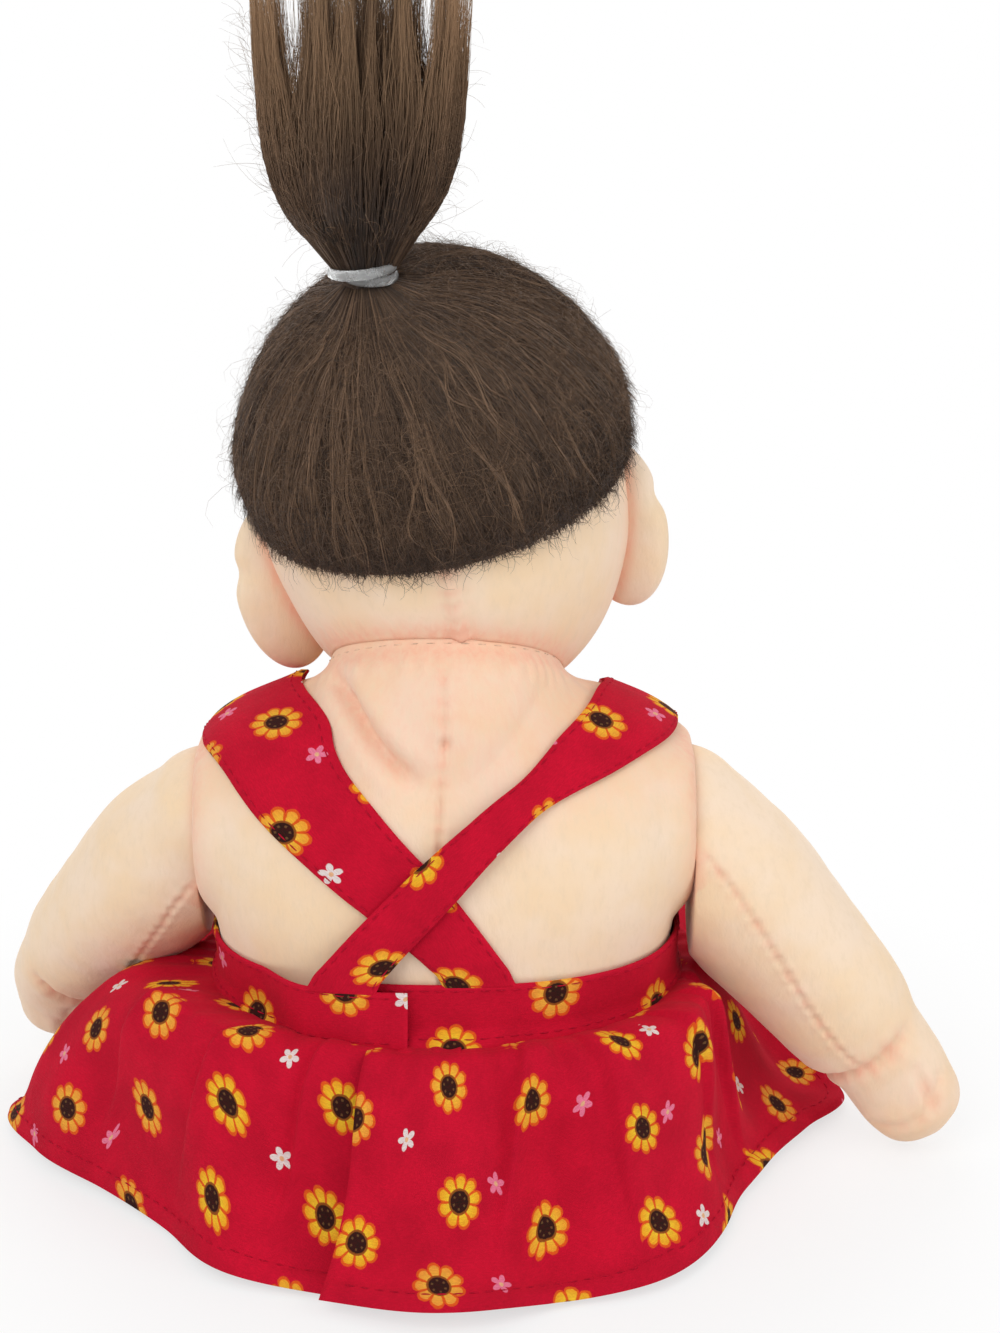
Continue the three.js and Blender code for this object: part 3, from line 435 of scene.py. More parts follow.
def on_skin(mesh, line):
    """Moves a line onto the nearest places of a skin."""
    points = coordinates(mesh)
    near = np.array([points[np.argmin(np.sum((points - place) ** 2, axis=1))] for place in line])
    for _ in range(2):
        near[1:-1] = (near[:-2] + near[1:-1] * 2 + near[2:]) / 4
    return near


def stitch_threads(line, normals, length, gap, radius, lift):
    """Short rounded threads that follow a line on a surface."""
    line, normals = np.asarray(line, float), np.asarray(normals, float)
    travelled = lengths_along(line)
    paths, radii = [], []
    start = gap
    while start + length < travelled[-1]:
        at = np.linspace(start, start + length, 5)
        centre = np.stack([np.interp(at, travelled, line[:, k]) for k in range(3)], -1)
        up = unit(np.stack([np.interp(at, travelled, normals[:, k]) for k in range(3)], -1))
        rise = np.array([-0.6, 0.7, 1, 0.7, -0.6])
        paths.append(centre + up * (lift * rise)[:, None])
        radii.append(radius * np.array([0.55, 1, 1, 1, 0.55]))
        start += length + gap
    return np.array(paths), np.array(radii)


def thread_arrays(paths, radii, sides=3):
    """Points and faces of closed threads; paths is (count, steps, 3) and radii (count, steps)."""
    count, steps, _ = paths.shape
    along = unit(np.gradient(paths, axis=1))
    guide = unit(np.array([0.31, 0.52, 0.8]))
    out = unit(np.cross(along, guide))
    over = np.cross(along, out)
    turns = 2 * math.pi * np.arange(sides) / sides
    ring = (np.cos(turns)[:, None] * out[:, :, None, :] + np.sin(turns)[:, None] * over[:, :, None, :])
    points = (paths[:, :, None, :] + ring * radii[:, :, None, None]).reshape(-1, 3)
    n, i, j = np.meshgrid(np.arange(count), np.arange(steps - 1), np.arange(sides), indexing="ij")
    a = (n * steps + i) * sides + j
    b = (n * steps + i) * sides + (j + 1) % sides
    quads = np.stack([a, b, b + sides, a + sides], -1).reshape(-1, 4)
    first = np.arange(count)[:, None] * steps * sides
    last = first + (steps - 1) * sides
    caps = np.concatenate([first + np.arange(sides)[::-1], last + np.arange(sides)])
    return points, quads, caps


def threads(name, paths, radii, marks=None, sides=3):
    points, quads, caps = thread_arrays(paths, radii, sides)
    spread = {}
    for key, values in (marks or {}).items():
        values = np.broadcast_to(values, paths.shape[:2])
        spread[key] = np.repeat(values.reshape(-1), sides)
    return add_object(name, mesh_from(name, points, [quads, caps], spread))


# Materials
class Graph:
    """Short ways to build a material's nodes."""

    def __init__(self, name):
        self.material = bpy.data.materials.new(name)
        self.material.use_nodes = True
        self.tree = self.material.node_tree
        self.shader = self.tree.nodes["Principled BSDF"]

    def set(self, **values):
        for key, value in values.items():
            self.shader.inputs[key.replace("_", " ")].default_value = value

    def node(self, kind, settings=None, **inputs):
        node = self.tree.nodes.new(kind)
        for key, value in (settings or {}).items():
            setattr(node, key, value)
        for key, value in inputs.items():
            self.feed(node.inputs[key.replace("_", " ")], value)
        return node

    def feed(self, socket, value):
        if isinstance(value, bpy.types.NodeSocket):
            self.tree.links.new(value, socket)
        else:
            socket.default_value = value

    def math(self, operation, a, b=0.0, c=0.0):
        node = self.tree.nodes.new("ShaderNodeMath")
        node.operation = operation
        for socket, value in zip(node.inputs, (a, b, c)):
            self.feed(socket, value)
        return node.outputs[0]

    def ramp(self, value, low, high, start=0.0, end=1.0):
        node = self.node("ShaderNodeMapRange", {"interpolation_type": "SMOOTHSTEP"}, Value=value)
        for key, number in (("From Min", low), ("From Max", high), ("To Min", start), ("To Max", end)):
            self.feed(node.inputs[key], number)
        return node.outputs[0]

    def blend(self, share, a, b):
        node = self.tree.nodes.new("ShaderNodeMix")
        node.data_type = "RGBA"
        self.feed(node.inputs[0], share)
        for socket, value in ((node.inputs[6], a), (node.inputs[7], b)):
            self.feed(socket, (*value, 1) if isinstance(value, tuple) and len(value) == 3 else value)
        return node.outputs[2]

    def mark(self, key):
        return self.node("ShaderNodeAttribute", {"attribute_name": key})

    def place(self):
        return self.node("ShaderNodeTexCoord").outputs["Object"]

    def noise(self, vector, scale, detail=2.0, roughness=0.5):
        return self.node("ShaderNodeTexNoise", Vector=vector, Scale=scale, Detail=detail,
                         Roughness=roughness).outputs["Fac"]

    def bump(self, height, strength, distance, normal=None):
        node = self.node("ShaderNodeBump", Height=height, Strength=strength, Distance=distance)
        if normal is not None:
            self.tree.links.new(normal, node.inputs["Normal"])
        return node.outputs[0]

    def finish(self, color=None, normal=None, roughness=None):
        if color is not None:
            self.feed(self.shader.inputs["Base Color"], color)
        if normal is not None:
            self.feed(self.shader.inputs["Normal"], normal)
        if roughness is not None:
            self.feed(self.shader.inputs["Roughness"], roughness)
        return self.material


def plush_material(name, base, blush_and_painted_shade):
    """Short pile: a soft nap, blotches where it is brushed, and pink blush and painted seam shade."""
    g = Graph(name)
    place = g.place()
    g.set(Roughness=0.92, Specular_IOR_Level=0.2)
    g.set(Sheen_Weight=0.35, Sheen_Roughness=0.45, Sheen_Tint=(1, 0.93, 0.84, 1))
    brushed = g.noise(place, 55, 3, 0.6)
    combed = g.node("ShaderNodeVectorMath", {"operation": "MULTIPLY"})
    g.feed(combed.inputs[0], place)
    g.feed(combed.inputs[1], (1.0, 1.0, 0.4))
    nap = g.noise(combed.outputs[0], 760, 3, 0.65)
    warm = tuple(c * k for c, k in zip(base, (0.99, 0.95, 0.88)))
    pale = tuple(min(1, c * k) for c, k in zip(base, (1.0, 1.02, 1.1)))
    color = g.blend(g.ramp(brushed, 0.35, 0.68), warm, pale)
    dark = tuple(c * 0.88 for c in base)
    color = g.blend(g.ramp(nap, 0.3, 0.55, 0.3, 0.0), color, dark)
    # The mark's pink is blush on the cheeks and nose, and painted shade along seams, folds and joins
    blush_and_shade_share = g.math("MULTIPLY", g.mark("blush_and_painted_shade").outputs["Fac"], g.ramp(nap, 0.25, 0.7, 0.5, 1.0))
    color = g.blend(g.math("MINIMUM", blush_and_shade_share, 0.85), color, blush_and_painted_shade)
    normal = g.bump(nap, 0.28, 0.0005)
    return g.finish(color, normal)


def flower_cell(g, across, down, jitter, seed):
    """A half-drop layout: distance and angle from the flower of the cell, and three random numbers for it."""
    column = g.math("FLOOR", g.math("DIVIDE", across, PRINT_ACROSS))
    odd = g.math("FLOORED_MODULO", column, 2.0)
    shifted = g.math("ADD", down, g.math("MULTIPLY", odd, PRINT_DOWN / 2))
    row = g.math("FLOOR", g.math("DIVIDE", shifted, PRINT_DOWN))
    cell = g.node("ShaderNodeCombineXYZ", X=column, Y=row, Z=seed).outputs[0]
    chance = g.node("ShaderNodeTexWhiteNoise", {"noise_dimensions": "3D"}, Vector=cell)
    pick = g.node("ShaderNodeSeparateColor", Color=chance.outputs["Color"]).outputs

    def local(value, index, pitch, draw):
        middle = g.math("MULTIPLY", g.math("ADD", index, 0.5), pitch)
        moved = g.math("MULTIPLY_ADD", g.math("SUBTRACT", draw, 0.5), jitter, middle)
        return g.math("SUBTRACT", value, moved)

    x = local(across, column, PRINT_ACROSS, pick[0])
    y = local(shifted, row, PRINT_DOWN, pick[1])
    radius = g.math("SQRT", g.math("MULTIPLY_ADD", x, x, g.math("MULTIPLY", y, y)))
    angle = g.math("MULTIPLY_ADD", pick[2], 6.28, g.math("ARCTAN2", y, x))
    return radius, angle, pick


def cotton_material():
    """Plain-weave cotton with scattered daisies and small blossoms, laid out in the cloth's flat measure."""
    g = Graph("floral_cotton")
    g.set(Roughness=0.9, Specular_IOR_Level=0.1)
    g.set(Sheen_Weight=0.05, Sheen_Roughness=0.5, Sheen_Tint=(1, 0.3, 0.3, 1))
    cloth = g.mark("cloth").outputs["Vector"]
    split = g.node("ShaderNodeSeparateXYZ", Vector=cloth).outputs
    fuzz = g.noise(cloth, 1.1, 3, 0.7)
    across = g.math("MULTIPLY_ADD", g.math("SUBTRACT", fuzz, 0.5), 0.35, split[0])
    down = g.math("MULTIPLY_ADD", g.math("SUBTRACT", fuzz, 0.5), 0.35, split[1])
    faded = g.noise(cloth, 0.09, 3, 0.6)
    color = g.blend(g.ramp(faded, 0.3, 0.7), RED_DEEP, RED)

    radius, angle, pick = flower_cell(g, across, down, 5.0, 3.0)
    lobes = g.math("ABSOLUTE", g.math("COSINE", g.math("MULTIPLY", angle, 4.5)))
    lobes = g.math("POWER", lobes, 0.5)
    edge = g.math("MULTIPLY_ADD", lobes, 1.3, 3.4)
    inside = g.ramp(g.math("SUBTRACT", edge, radius), -0.1, 0.12)
    color = g.blend(inside, color, PETAL_EDGE)
    petal = g.ramp(g.math("SUBTRACT", edge, radius), 0.42, 0.62)
    ray = g.ramp(lobes, 0.5, 0.72)
    gold = g.blend(g.ramp(radius, 2.0, 4.3), PETAL_GOLD, PETAL_ORANGE)
    gold = g.blend(g.ramp(pick[0], 0.3, 0.8, 0, 0.4), gold, PETAL_CORAL)
    color = g.blend(g.math("MULTIPLY", petal, ray), color, gold)
    rim = g.ramp(g.math("ABSOLUTE", g.math("SUBTRACT", radius, 2.0)), 0.12, 0.3, 1.0, 0.0)
    color = g.blend(rim, color, FLOWER_RIM)
    heart = g.ramp(radius, 1.75, 1.95, 1.0, 0.0)
    color = g.blend(heart, color, FLOWER_HEART)
    dots = g.math("COSINE", g.math("MULTIPLY", angle, 6.0))
    ring = g.ramp(g.math("ABSOLUTE", g.math("SUBTRACT", radius, 1.2)), 0.1, 0.3, 1.0, 0.0)
    seed = g.math("MULTIPLY", g.ramp(dots, 0.35, 0.7), ring)
    color = g.blend(g.math("MULTIPLY", seed, 0.6), color, FLOWER_SEED)

    beside = g.math("ADD", across, PRINT_ACROSS / 2)
    radius, angle, pick = flower_cell(g, beside, down, 3.0, 8.0)
    lobes = g.math("ABSOLUTE", g.math("COSINE", g.math("MULTIPLY", angle, 2.5)))
    edge = g.math("MULTIPLY_ADD", lobes, 1.25, 0.75)
    inside = g.ramp(g.math("SUBTRACT", edge, radius), -0.1, 0.12)
    chosen = g.math("LESS_THAN", pick[2], 0.5)
    tone = g.blend(g.math("LESS_THAN", pick[1], 0.62), BLOSSOM_WHITE, BLOSSOM_PINK)
    color = g.blend(g.math("MULTIPLY", inside, chosen), color, tone)
    heart = g.math("MULTIPLY", g.ramp(radius, 0.35, 0.5, 1.0, 0.0), chosen)
    color = g.blend(heart, color, BLOSSOM_HEART)

    warp = g.math("SINE", g.math("MULTIPLY", split[0], 6.283 / THREAD_PITCH))
    weft = g.math("SINE", g.math("MULTIPLY", split[1], 6.283 / THREAD_PITCH))
    weave = g.math("MULTIPLY", warp, weft)
    slubs = g.node("ShaderNodeVectorMath", {"operation": "MULTIPLY"})
    g.feed(slubs.inputs[0], cloth)
    g.feed(slubs.inputs[1], (0.6, 2.4, 1.0))
    shade = g.ramp(g.noise(slubs.outputs[0], 1.6, 4, 0.75), 0.35, 0.7, 0.24, 0.0)
    color = g.blend(shade, color, SLUB)
    normal = g.bump(weave, 0.25, 0.00012)
    normal = g.bump(g.noise(cloth, 0.9, 4, 0.65), 0.22, 0.0006, normal)
    return g.finish(color, normal)


def hair_material(name):
    """Fine fibres: each strand has its own shade, lighter towards its tip."""
    g = Graph(name)
    g.set(Roughness=0.5, Sheen_Weight=0.08, Specular_IOR_Level=0.2)
    shade = g.mark("shade").outputs["Fac"]
    tip = g.mark("tip").outputs["Fac"]
    color = g.blend(shade, HAIR_DARK, HAIR_LIGHT)
    color = g.blend(g.math("MULTIPLY", tip, 0.75), color, HAIR_TIP)
    return g.finish(color)


def thread_material(name, color):
    g = Graph(name)
    g.set(Roughness=0.85, Specular_IOR_Level=0.1)
    place = g.place()
    twist = g.noise(place, 1500, 2)
    deep = tuple(c * 0.7 for c in color)
    return g.finish(g.blend(g.ramp(twist, 0.35, 0.65), deep, color), g.bump(twist, 0.3, 0.0002))


def tape_material():
    g = Graph("closure_tape")
    g.set(Roughness=0.9, Sheen_Weight=0.3)
    place = g.place()
    loops = g.noise(place, 1300, 3, 0.8)
    return g.finish(g.blend(g.ramp(loops, 0.35, 0.65), (0.2, 0.005, 0.015), (0.45, 0.012, 0.03)),
                    g.bump(loops, 0.8, 0.0006))


def elastic_material():
    g = Graph("clear_elastic")
    g.set(IOR=1.4, Transmission_Weight=0.8, Base_Color=(0.9, 0.91, 0.91, 1))
    cloudy = g.noise(g.place(), 420, 2)
    return g.finish(None, g.bump(cloudy, 0.2, 0.0004), g.ramp(cloudy, 0.3, 0.7, 0.18, 0.34))


def eye_material():
    g = Graph("eye_plastic")
    g.set(Coat_Weight=0.6, Coat_Roughness=0.03)
    apart = g.mark("apart").outputs["Fac"]
    color = g.blend(g.ramp(apart, 0.42, 0.5), (0.004, 0.003, 0.003), (0.1, 0.045, 0.018))
    color = g.blend(g.ramp(apart, 0.82, 0.92), color, (0.012, 0.007, 0.005))
    return g.finish(color, None, g.ramp(g.noise(g.place(), 300, 2), 0.3, 0.7, 0.05, 0.1))


def washer_material():
    g = Graph("washer_plastic")
    grain = g.noise(g.place(), 900, 2)
    return g.finish(g.blend(grain, (0.72, 0.72, 0.7), (0.84, 0.84, 0.82)), g.bump(grain, 0.1, 0.0002),
                    g.ramp(grain, 0.3, 0.7, 0.45, 0.6))


PLUSH = plush_material("skin_plush", SKIN, SKIN_BLUSH_AND_SHADE)
COTTON_PRINT = cotton_material()
HAIR = hair_material("hair_fabric")
RED_THREAD = thread_material("red_thread", (0.5, 0.006, 0.03))
SKIN_THREAD = thread_material("skin_thread", (0.84, 0.58, 0.42))


def dress_up(obj, body, material, slot, *nodes):
    """Gives a piece its material and its body, and hides the solids that it stands for. Its slot is not used.
    """
    obj.data.materials.clear()
    obj.data.materials.append(material)
    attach(obj, body)
    if nodes:
        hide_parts(*nodes)
    return obj


def finish_plush(obj, points, blush_and_painted_shade, body, fill, *nodes):
    """Puts a plush skin in its last place, marks its pink blush and painted shade, and gives it its material
    and body.
    """
    move_points(obj.data, points)
    set_mark(obj.data, "blush_and_painted_shade", np.clip(blush_and_painted_shade, 0, 1.2))
    dress_up(obj, body, PLUSH, "skin_plush", *nodes)


# Torso
def torso_surface(angle, height):
    width, front, back, square = between(TORSO_SECTIONS, np.asarray(height, float) / TORSO_HEIGHT)
    depth = np.where(cos(angle) >= 0, back * BACK_DEPTH, front * BELLY_DEPTH)
    fill = (np.abs(sin(angle)) ** square + np.abs(cos(angle)) ** square) ** (-1 / square)
    half = width * CHEST_WIDTH / 2
    return np.stack([half * fill * sin(angle), depth * fill * cos(angle), height + 0 * angle], -1)


def torso_point(angle, height, offset):
    """A place at an offset from the torso's skin, and the skin's normal there."""
    angle, height = np.broadcast_arrays(np.asarray(angle, float), np.asarray(height, float))
    round_way = torso_surface(angle + 1, height) - torso_surface(angle - 1, height)
    up_way = torso_surface(angle, height + 0.5) - torso_surface(angle, height - 0.5)
    normal = unit(np.cross(up_way, round_way))
    return torso_surface(angle, height) + normal * np.asarray(offset)[..., None], normal


NECK_AXIS = np.array([0, -sin(NECK_LEAN), cos(NECK_LEAN)])


def neck_measure(points):
    """How far along the neck's axis each point is, and how far from the axis."""
    apart = points - NECK_CENTRE
    along = apart @ NECK_AXIS
    return along, np.linalg.norm(apart - along[:, None] * NECK_AXIS, axis=1)


def neck_puckers(points):
    """Small gathers round the neck's axis, from -1 to 1."""
    apart = points - NECK_CENTRE
    turn = np.arctan2(apart[:, 0], apart @ np.cross(NECK_AXIS, [1.0, 0, 0]))
    return np.sin(turn * 41 + 2.5 * np.sin(turn * 7))


def press_below_head(points):
    along, radius = neck_measure(points)
    ball = np.sqrt(np.maximum(NECK_RADIUS**2 - radius**2, 0))
    limit = np.maximum(radius / math.tan(math.radians(NECK_CLEAR + NECK_CLEAR_STEP)), ball)
    # Outside the seam the skin rounds off below the head
    soft = 0.01 + 3.5 * smooth(radius, 21, 24.5)
    share = np.clip(0.5 + (limit - along) / soft / 2, 0, 1)
    rounded = mix(limit, along, share) - soft * share * (1 - share)
    return points - (along - rounded)[:, None] * NECK_AXIS


def press_socket(points, centre, radius, axis, side):
    """Hollows a skin along one axis so that a limb's round end fits in it."""
    others = [k for k in range(3) if k != axis]
    apart = np.sum((points[:, others] - centre[others]) ** 2, axis=1)
    floor = centre[axis] - side * np.sqrt(np.maximum(radius**2 - apart, 0))
    beyond = (points[:, axis] - floor) * side > 0
    near = (points[:, axis] - centre[axis]) * side > -radius
    hit = (apart < radius**2) & beyond & near
    points = points.copy()
    points[hit, axis] = floor[hit]
    return points


def nape_point(angle, height):
    """A place on the torso's skin, or on the round of the neck where that stands out further."""
    point = torso_surface(np.array(float(angle)), np.array(float(height)))
    apart = point[:2] - NECK_CENTRE[:2]
    reach = math.sqrt(max(NECK_RADIUS**2 - (height - NECK_CENTRE[2]) ** 2, 0))
    length = np.linalg.norm(apart)
    point[:2] = NECK_CENTRE[:2] + apart * max(1, reach / length)
    return point


def soften(points, mesh, share, passes):
    """Evens out a skin where the share is above zero."""
    ends = np.empty(len(mesh.edges) * 2, np.int32)
    mesh.edges.foreach_get("vertices", ends)
    a, b = ends.reshape(-1, 2).T
    size = len(points)
    count = np.bincount(a, minlength=size) + np.bincount(b, minlength=size)
    for _ in range(passes):
        total = np.stack([np.bincount(a, points[b, k], size) + np.bincount(b, points[a, k], size)
                          for k in range(3)], -1)
        points = points + (total / count[:, None] - points) * share[:, None]
    return points


def make_torso():
    heights = np.linspace(0, TORSO_HEIGHT, 70)[:, None]
    angles = np.linspace(0, 360, 110, endpoint=False)[None, :]
    trunk = shell(torso_surface(angles, heights))
    neck = globe(NECK_CENTRE, [NECK_RADIUS + 0.8] * 3)
    obj = fuse("torso_plush", [trunk, neck], 0.62, 6)
    mesh = obj.data
    points = coordinates(mesh)
    # The round of the neck runs smoothly into the shoulders
    nape = smooth(points[:, 2], 68, 78) * (1 - smooth(np.abs(points[:, 0]), 24, 32))
    move_points(mesh, soften(points, mesh, 0.6 * nape, 90))
    back = [nape_point(0.6 * math.sin(h * 0.2), h) for h in range(30, 100, 2)]
    blush_and_painted_shade = sew(mesh, back, 0.6, 0.5, 0.1, 0.5)
    points = coordinates(mesh)
    # A strong tension fold runs from the left of the neck to the middle of the back, and a faint one
    # from the right
    for side, depth in ((1, 2.7), (-1, 0.25)):
        fold = [nape_point(side * angle, height) for angle, height in NAPE_FOLD]
        apart, along, length = seam_field(points, fold)
        fade = smooth(along, -3, 2) * (1 - smooth(along, length * 0.7, length))
        press = np.exp(-(apart / 1.3) ** 2) - 0.35 * np.exp(-((apart - 3.6) / 2.2) ** 2)
        points = push(mesh, points, -depth * press * fade)
        # Pink painted shade along the fold
        blush_and_painted_shade = blush_and_painted_shade + 0.13 * depth * np.exp(-(apart / 2.2) ** 2) * fade
    dimple = np.linalg.norm(points - nape_point(-0.8, 84.4), axis=1)
    points = push(mesh, points, -0.9 * np.exp(-(dimple / 1.0) ** 2))
    points = push(mesh, points, 0.25 * ripple(points, 26, 4))
    points = press_below_head(points)
    along, radius = neck_measure(points)
    rim = np.exp(-((np.degrees(np.arctan2(radius, along)) - 74) / 5) ** 2)
    points = soften(points, mesh, 0.6 * rim, 40)
    below_seam = np.exp(-((np.degrees(np.arctan2(radius, along)) - 79) / 5) ** 2)
    points = push(mesh, points, 0.16 * neck_puckers(points) * below_seam)
    flank = CHEST_WIDTH / 2 + 0.4
    for side in (1, -1):
        flip = np.array([side, 1, 1])
        # The flank swells flat against the arm that is sewn to it
        apart = np.linalg.norm(points[:, 1:] - SHOULDER[1:], axis=1)
        beside = points[:, 0] * side > 20
        below = 1 - smooth(points[:, 2], 76.5, 80)
        swell = np.clip(flank - points[:, 0] * side, 0, 12) * (1 - smooth(apart, 13.4, 19)) * beside * below
        points[:, 0] += side * swell
        # Pink painted shade round the joint with the arm
        blush_and_painted_shade = blush_and_painted_shade + 0.6 * np.exp(-((apart - ARM_BALL - 1.5) / 2.2) ** 2) * (points[:, 0] * side > 30)
        points = press_socket(points, SHOULDER * flip, ARM_BALL + 0.3, 0, side)
        points = press_socket(points, HIP * flip, LEG_BALL + 0.4, 1, -1)
    points[:, 2] = np.maximum(points[:, 2], 0)
    along, radius = neck_measure(points)
    seam = np.exp(-((np.degrees(np.arctan2(radius, along)) - NECK_OPENING - 5) / 5) ** 2)
    # Pink painted shade along the neck seam, and over the upper back below the head
    blush_and_painted_shade = blush_and_painted_shade + 0.4 * seam * (along > 0) + 0.4 * smooth(points[:, 2], 64, 84)
    finish_plush(obj, points, blush_and_painted_shade, "torso", 0.85, "torso_cover", "torso_stuffing", "seat_pellet_bag")


# Head
HEAD_TURN = turn_y(HEAD_ROLL)
SEAM_RADIUS = NECK_RADIUS * sin(NECK_OPENING)
SEAM_DEPTH = math.sqrt(1 - (SEAM_RADIUS / (HEAD_WIDTH / 2)) ** 2)
HEAD_RISE = NECK_RADIUS * cos(NECK_OPENING) + HEAD_HEIGHT / 2 * SEAM_DEPTH
HEAD_CENTRE = NECK_CENTRE + NECK_AXIS * HEAD_RISE


def to_world(points):
    return points @ HEAD_TURN.T + HEAD_CENTRE


def facing(azimuth, elevation):
    """A direction on the head: azimuth from the nose towards the doll's left, and elevation."""
    azimuth, elevation = np.broadcast_arrays(np.asarray(azimuth, float), np.asarray(elevation, float))
    return np.stack([sin(azimuth) * cos(elevation), -cos(azimuth) * cos(elevation), sin(elevation)], -1)


def head_radius(direction):
    halves = np.array([HEAD_WIDTH, HEAD_DEPTH, HEAD_HEIGHT]) / 2
    plain = 1 / np.linalg.norm(direction / halves, axis=-1)
    cheek = np.maximum(direction @ facing(-34, -24), direction @ facing(34, -24))
    return plain + CHEEK_SWELL * smooth(cheek, 0.75, 1)


def head_point(direction, offset):
    return direction * (head_radius(direction) + offset)[..., None]


def make_head():
    lat = np.linspace(-89.3, 89.3, 190)[:, None]
    lon = np.linspace(0, 360, 260, endpoint=False)[None, :]
    axis = HEAD_TURN.T @ NECK_AXIS
    side = unit(np.cross(axis, [0, 1, 0]))
    front = np.cross(side, axis)
    direction = (cos(lat) * cos(lon))[..., None] * side + (cos(lat) * sin(lon))[..., None] * front
    direction = unit(direction + (sin(lat) * np.ones_like(lon))[..., None] * axis)
    points, faces = shell(to_world(head_point(direction, np.zeros(direction.shape[:2]))))
    obj = add_object("head_plush", mesh_from("head_plush", points, faces))
    mesh = obj.data
    crown = [to_world(head_point(facing(180, e)[None], np.zeros(1)))[0] for e in np.linspace(20, -62, 22)]
    blush_and_painted_shade = sew(mesh, crown, 0.6, 0.8, 0.12, 0.7)
    points = coordinates(mesh)
    points = push(mesh, points, 0.22 * ripple(points, 24, 9))
    along, radius = neck_measure(points)
    ball = np.sqrt(np.maximum((NECK_RADIUS - 0.15) ** 2 - radius**2, 0))
    floor = np.maximum(radius / math.tan(math.radians(NECK_CLEAR + NECK_CLEAR_STEP - 0.4)), ball)
    points = points + np.maximum(floor - along, 0)[:, None] * NECK_AXIS
    along, radius = neck_measure(points)
    seam = np.exp(-((radius - SEAM_RADIUS) / 2.6) ** 2) * (along < 16)
    points = push(mesh, points, 0.14 * neck_puckers(points) * smooth(radius, 20.5, 22) * seam)
    local = unit((points - HEAD_CENTRE) @ HEAD_TURN)
    cheeks = np.maximum(local @ facing(-38, -22), local @ facing(38, -22))
    ears = np.zeros(len(points))
    for ear_side in (1, -1):
        root = unit(np.array([ear_side, 0.06, -EAR_DROP / (HEAD_WIDTH / 2)]))
        ears = np.maximum(ears, np.exp(-(np.degrees(np.arccos(np.clip(local @ root, -1, 1))) / 20) ** 2))
    # Pink painted shade along the neck seam and round the ear roots, and pink blush on the cheeks
    blush_and_painted_shade = blush_and_painted_shade + 0.85 * seam + 0.4 * smooth(cheeks, 0.9, 0.99) + 0.4 * ears
    finish_plush(obj, points, blush_and_painted_shade, "head", 0.9, "head_cover", "head_stuffing")


def make_neck_stitches():
    """The ladder of small stitches that closes the neck seam."""
    turns = np.linspace(0, 360, 240)
    side = np.array([1.0, 0, 0])
    front = np.cross(side, NECK_AXIS)
    reach = SEAM_RADIUS + 0.1
    out = cos(turns)[:, None] * side + sin(turns)[:, None] * front
    line = NECK_CENTRE + out * reach + NECK_AXIS * math.sqrt(NECK_RADIUS**2 - reach**2)
    paths, radii = stitch_threads(line, out, 1.4, 1.5, 0.1, 0.05)
    obj = threads("neck_stitches", paths, radii, sides=5)
    dress_up(obj, "head", SKIN_THREAD, "skin_plush")


def make_ear(side):
    name = SIDE_NAMES[side]
    lat = np.linspace(-88, 88, 60)[:, None]
    lon = np.linspace(0, 360, 72, endpoint=False)[None, :]
    grid = np.stack([cos(lat) * cos(lon), cos(lat) * sin(lon), sin(lat) * np.ones_like(lon)], -1)
    rim = np.hypot(grid[..., 0], grid[..., 2])
    hollow = np.exp(-((rim - 0.62) / 0.16) ** 2) * (grid[..., 1] < 0)
    flat = np.sign(grid[..., 1]) * np.abs(grid[..., 1]) ** 0.8 * (1 - 0.5 * hollow)
    notch = 1 - 0.13 * np.exp(-((grid[..., 2] - 0.28) / 0.16) ** 2) * (grid[..., 0] * side > 0)
    grid = np.stack([grid[..., 0] * notch, flat, grid[..., 2]], -1)
    sunk = 0.0 if side > 0 else -2.0
    root = head_point(unit(np.array([side, 0.06, -EAR_DROP / (HEAD_WIDTH / 2)]))[None], np.array([sunk]))[0]
    size = np.array([EAR_REACH, EAR_THICKNESS / 2, EAR_HEIGHT / 2])
    points = (grid * size).reshape(-1, 3) @ turn_z(side * EAR_SWEEP).T + root
    rings = points.reshape(grid.shape)
    direction = unit(rings)
    least = head_radius(direction) - 1.0
    length = np.linalg.norm(rings, axis=-1)
    rings = direction * np.maximum(length, least)[..., None]
    points, faces = shell(to_world(rings))
    # Pink painted shade where the ear meets the head, and in its hollow
    near = np.append((np.maximum(length, least) - least - 1.0).reshape(-1), [0, 0])
    blush_and_painted_shade = 0.9 * np.exp(-(near / 1.5) ** 2) + 0.5 * np.append(hollow.reshape(-1), [0, 0])
    marks = {"blush_and_painted_shade": np.clip(blush_and_painted_shade, 0, 1)}
    obj = add_object(f"{name}_ear_plush", mesh_from(f"{name}_ear_plush", points, faces, marks))
    dress_up(obj, "head", PLUSH, "skin_plush", f"{name}_ear")


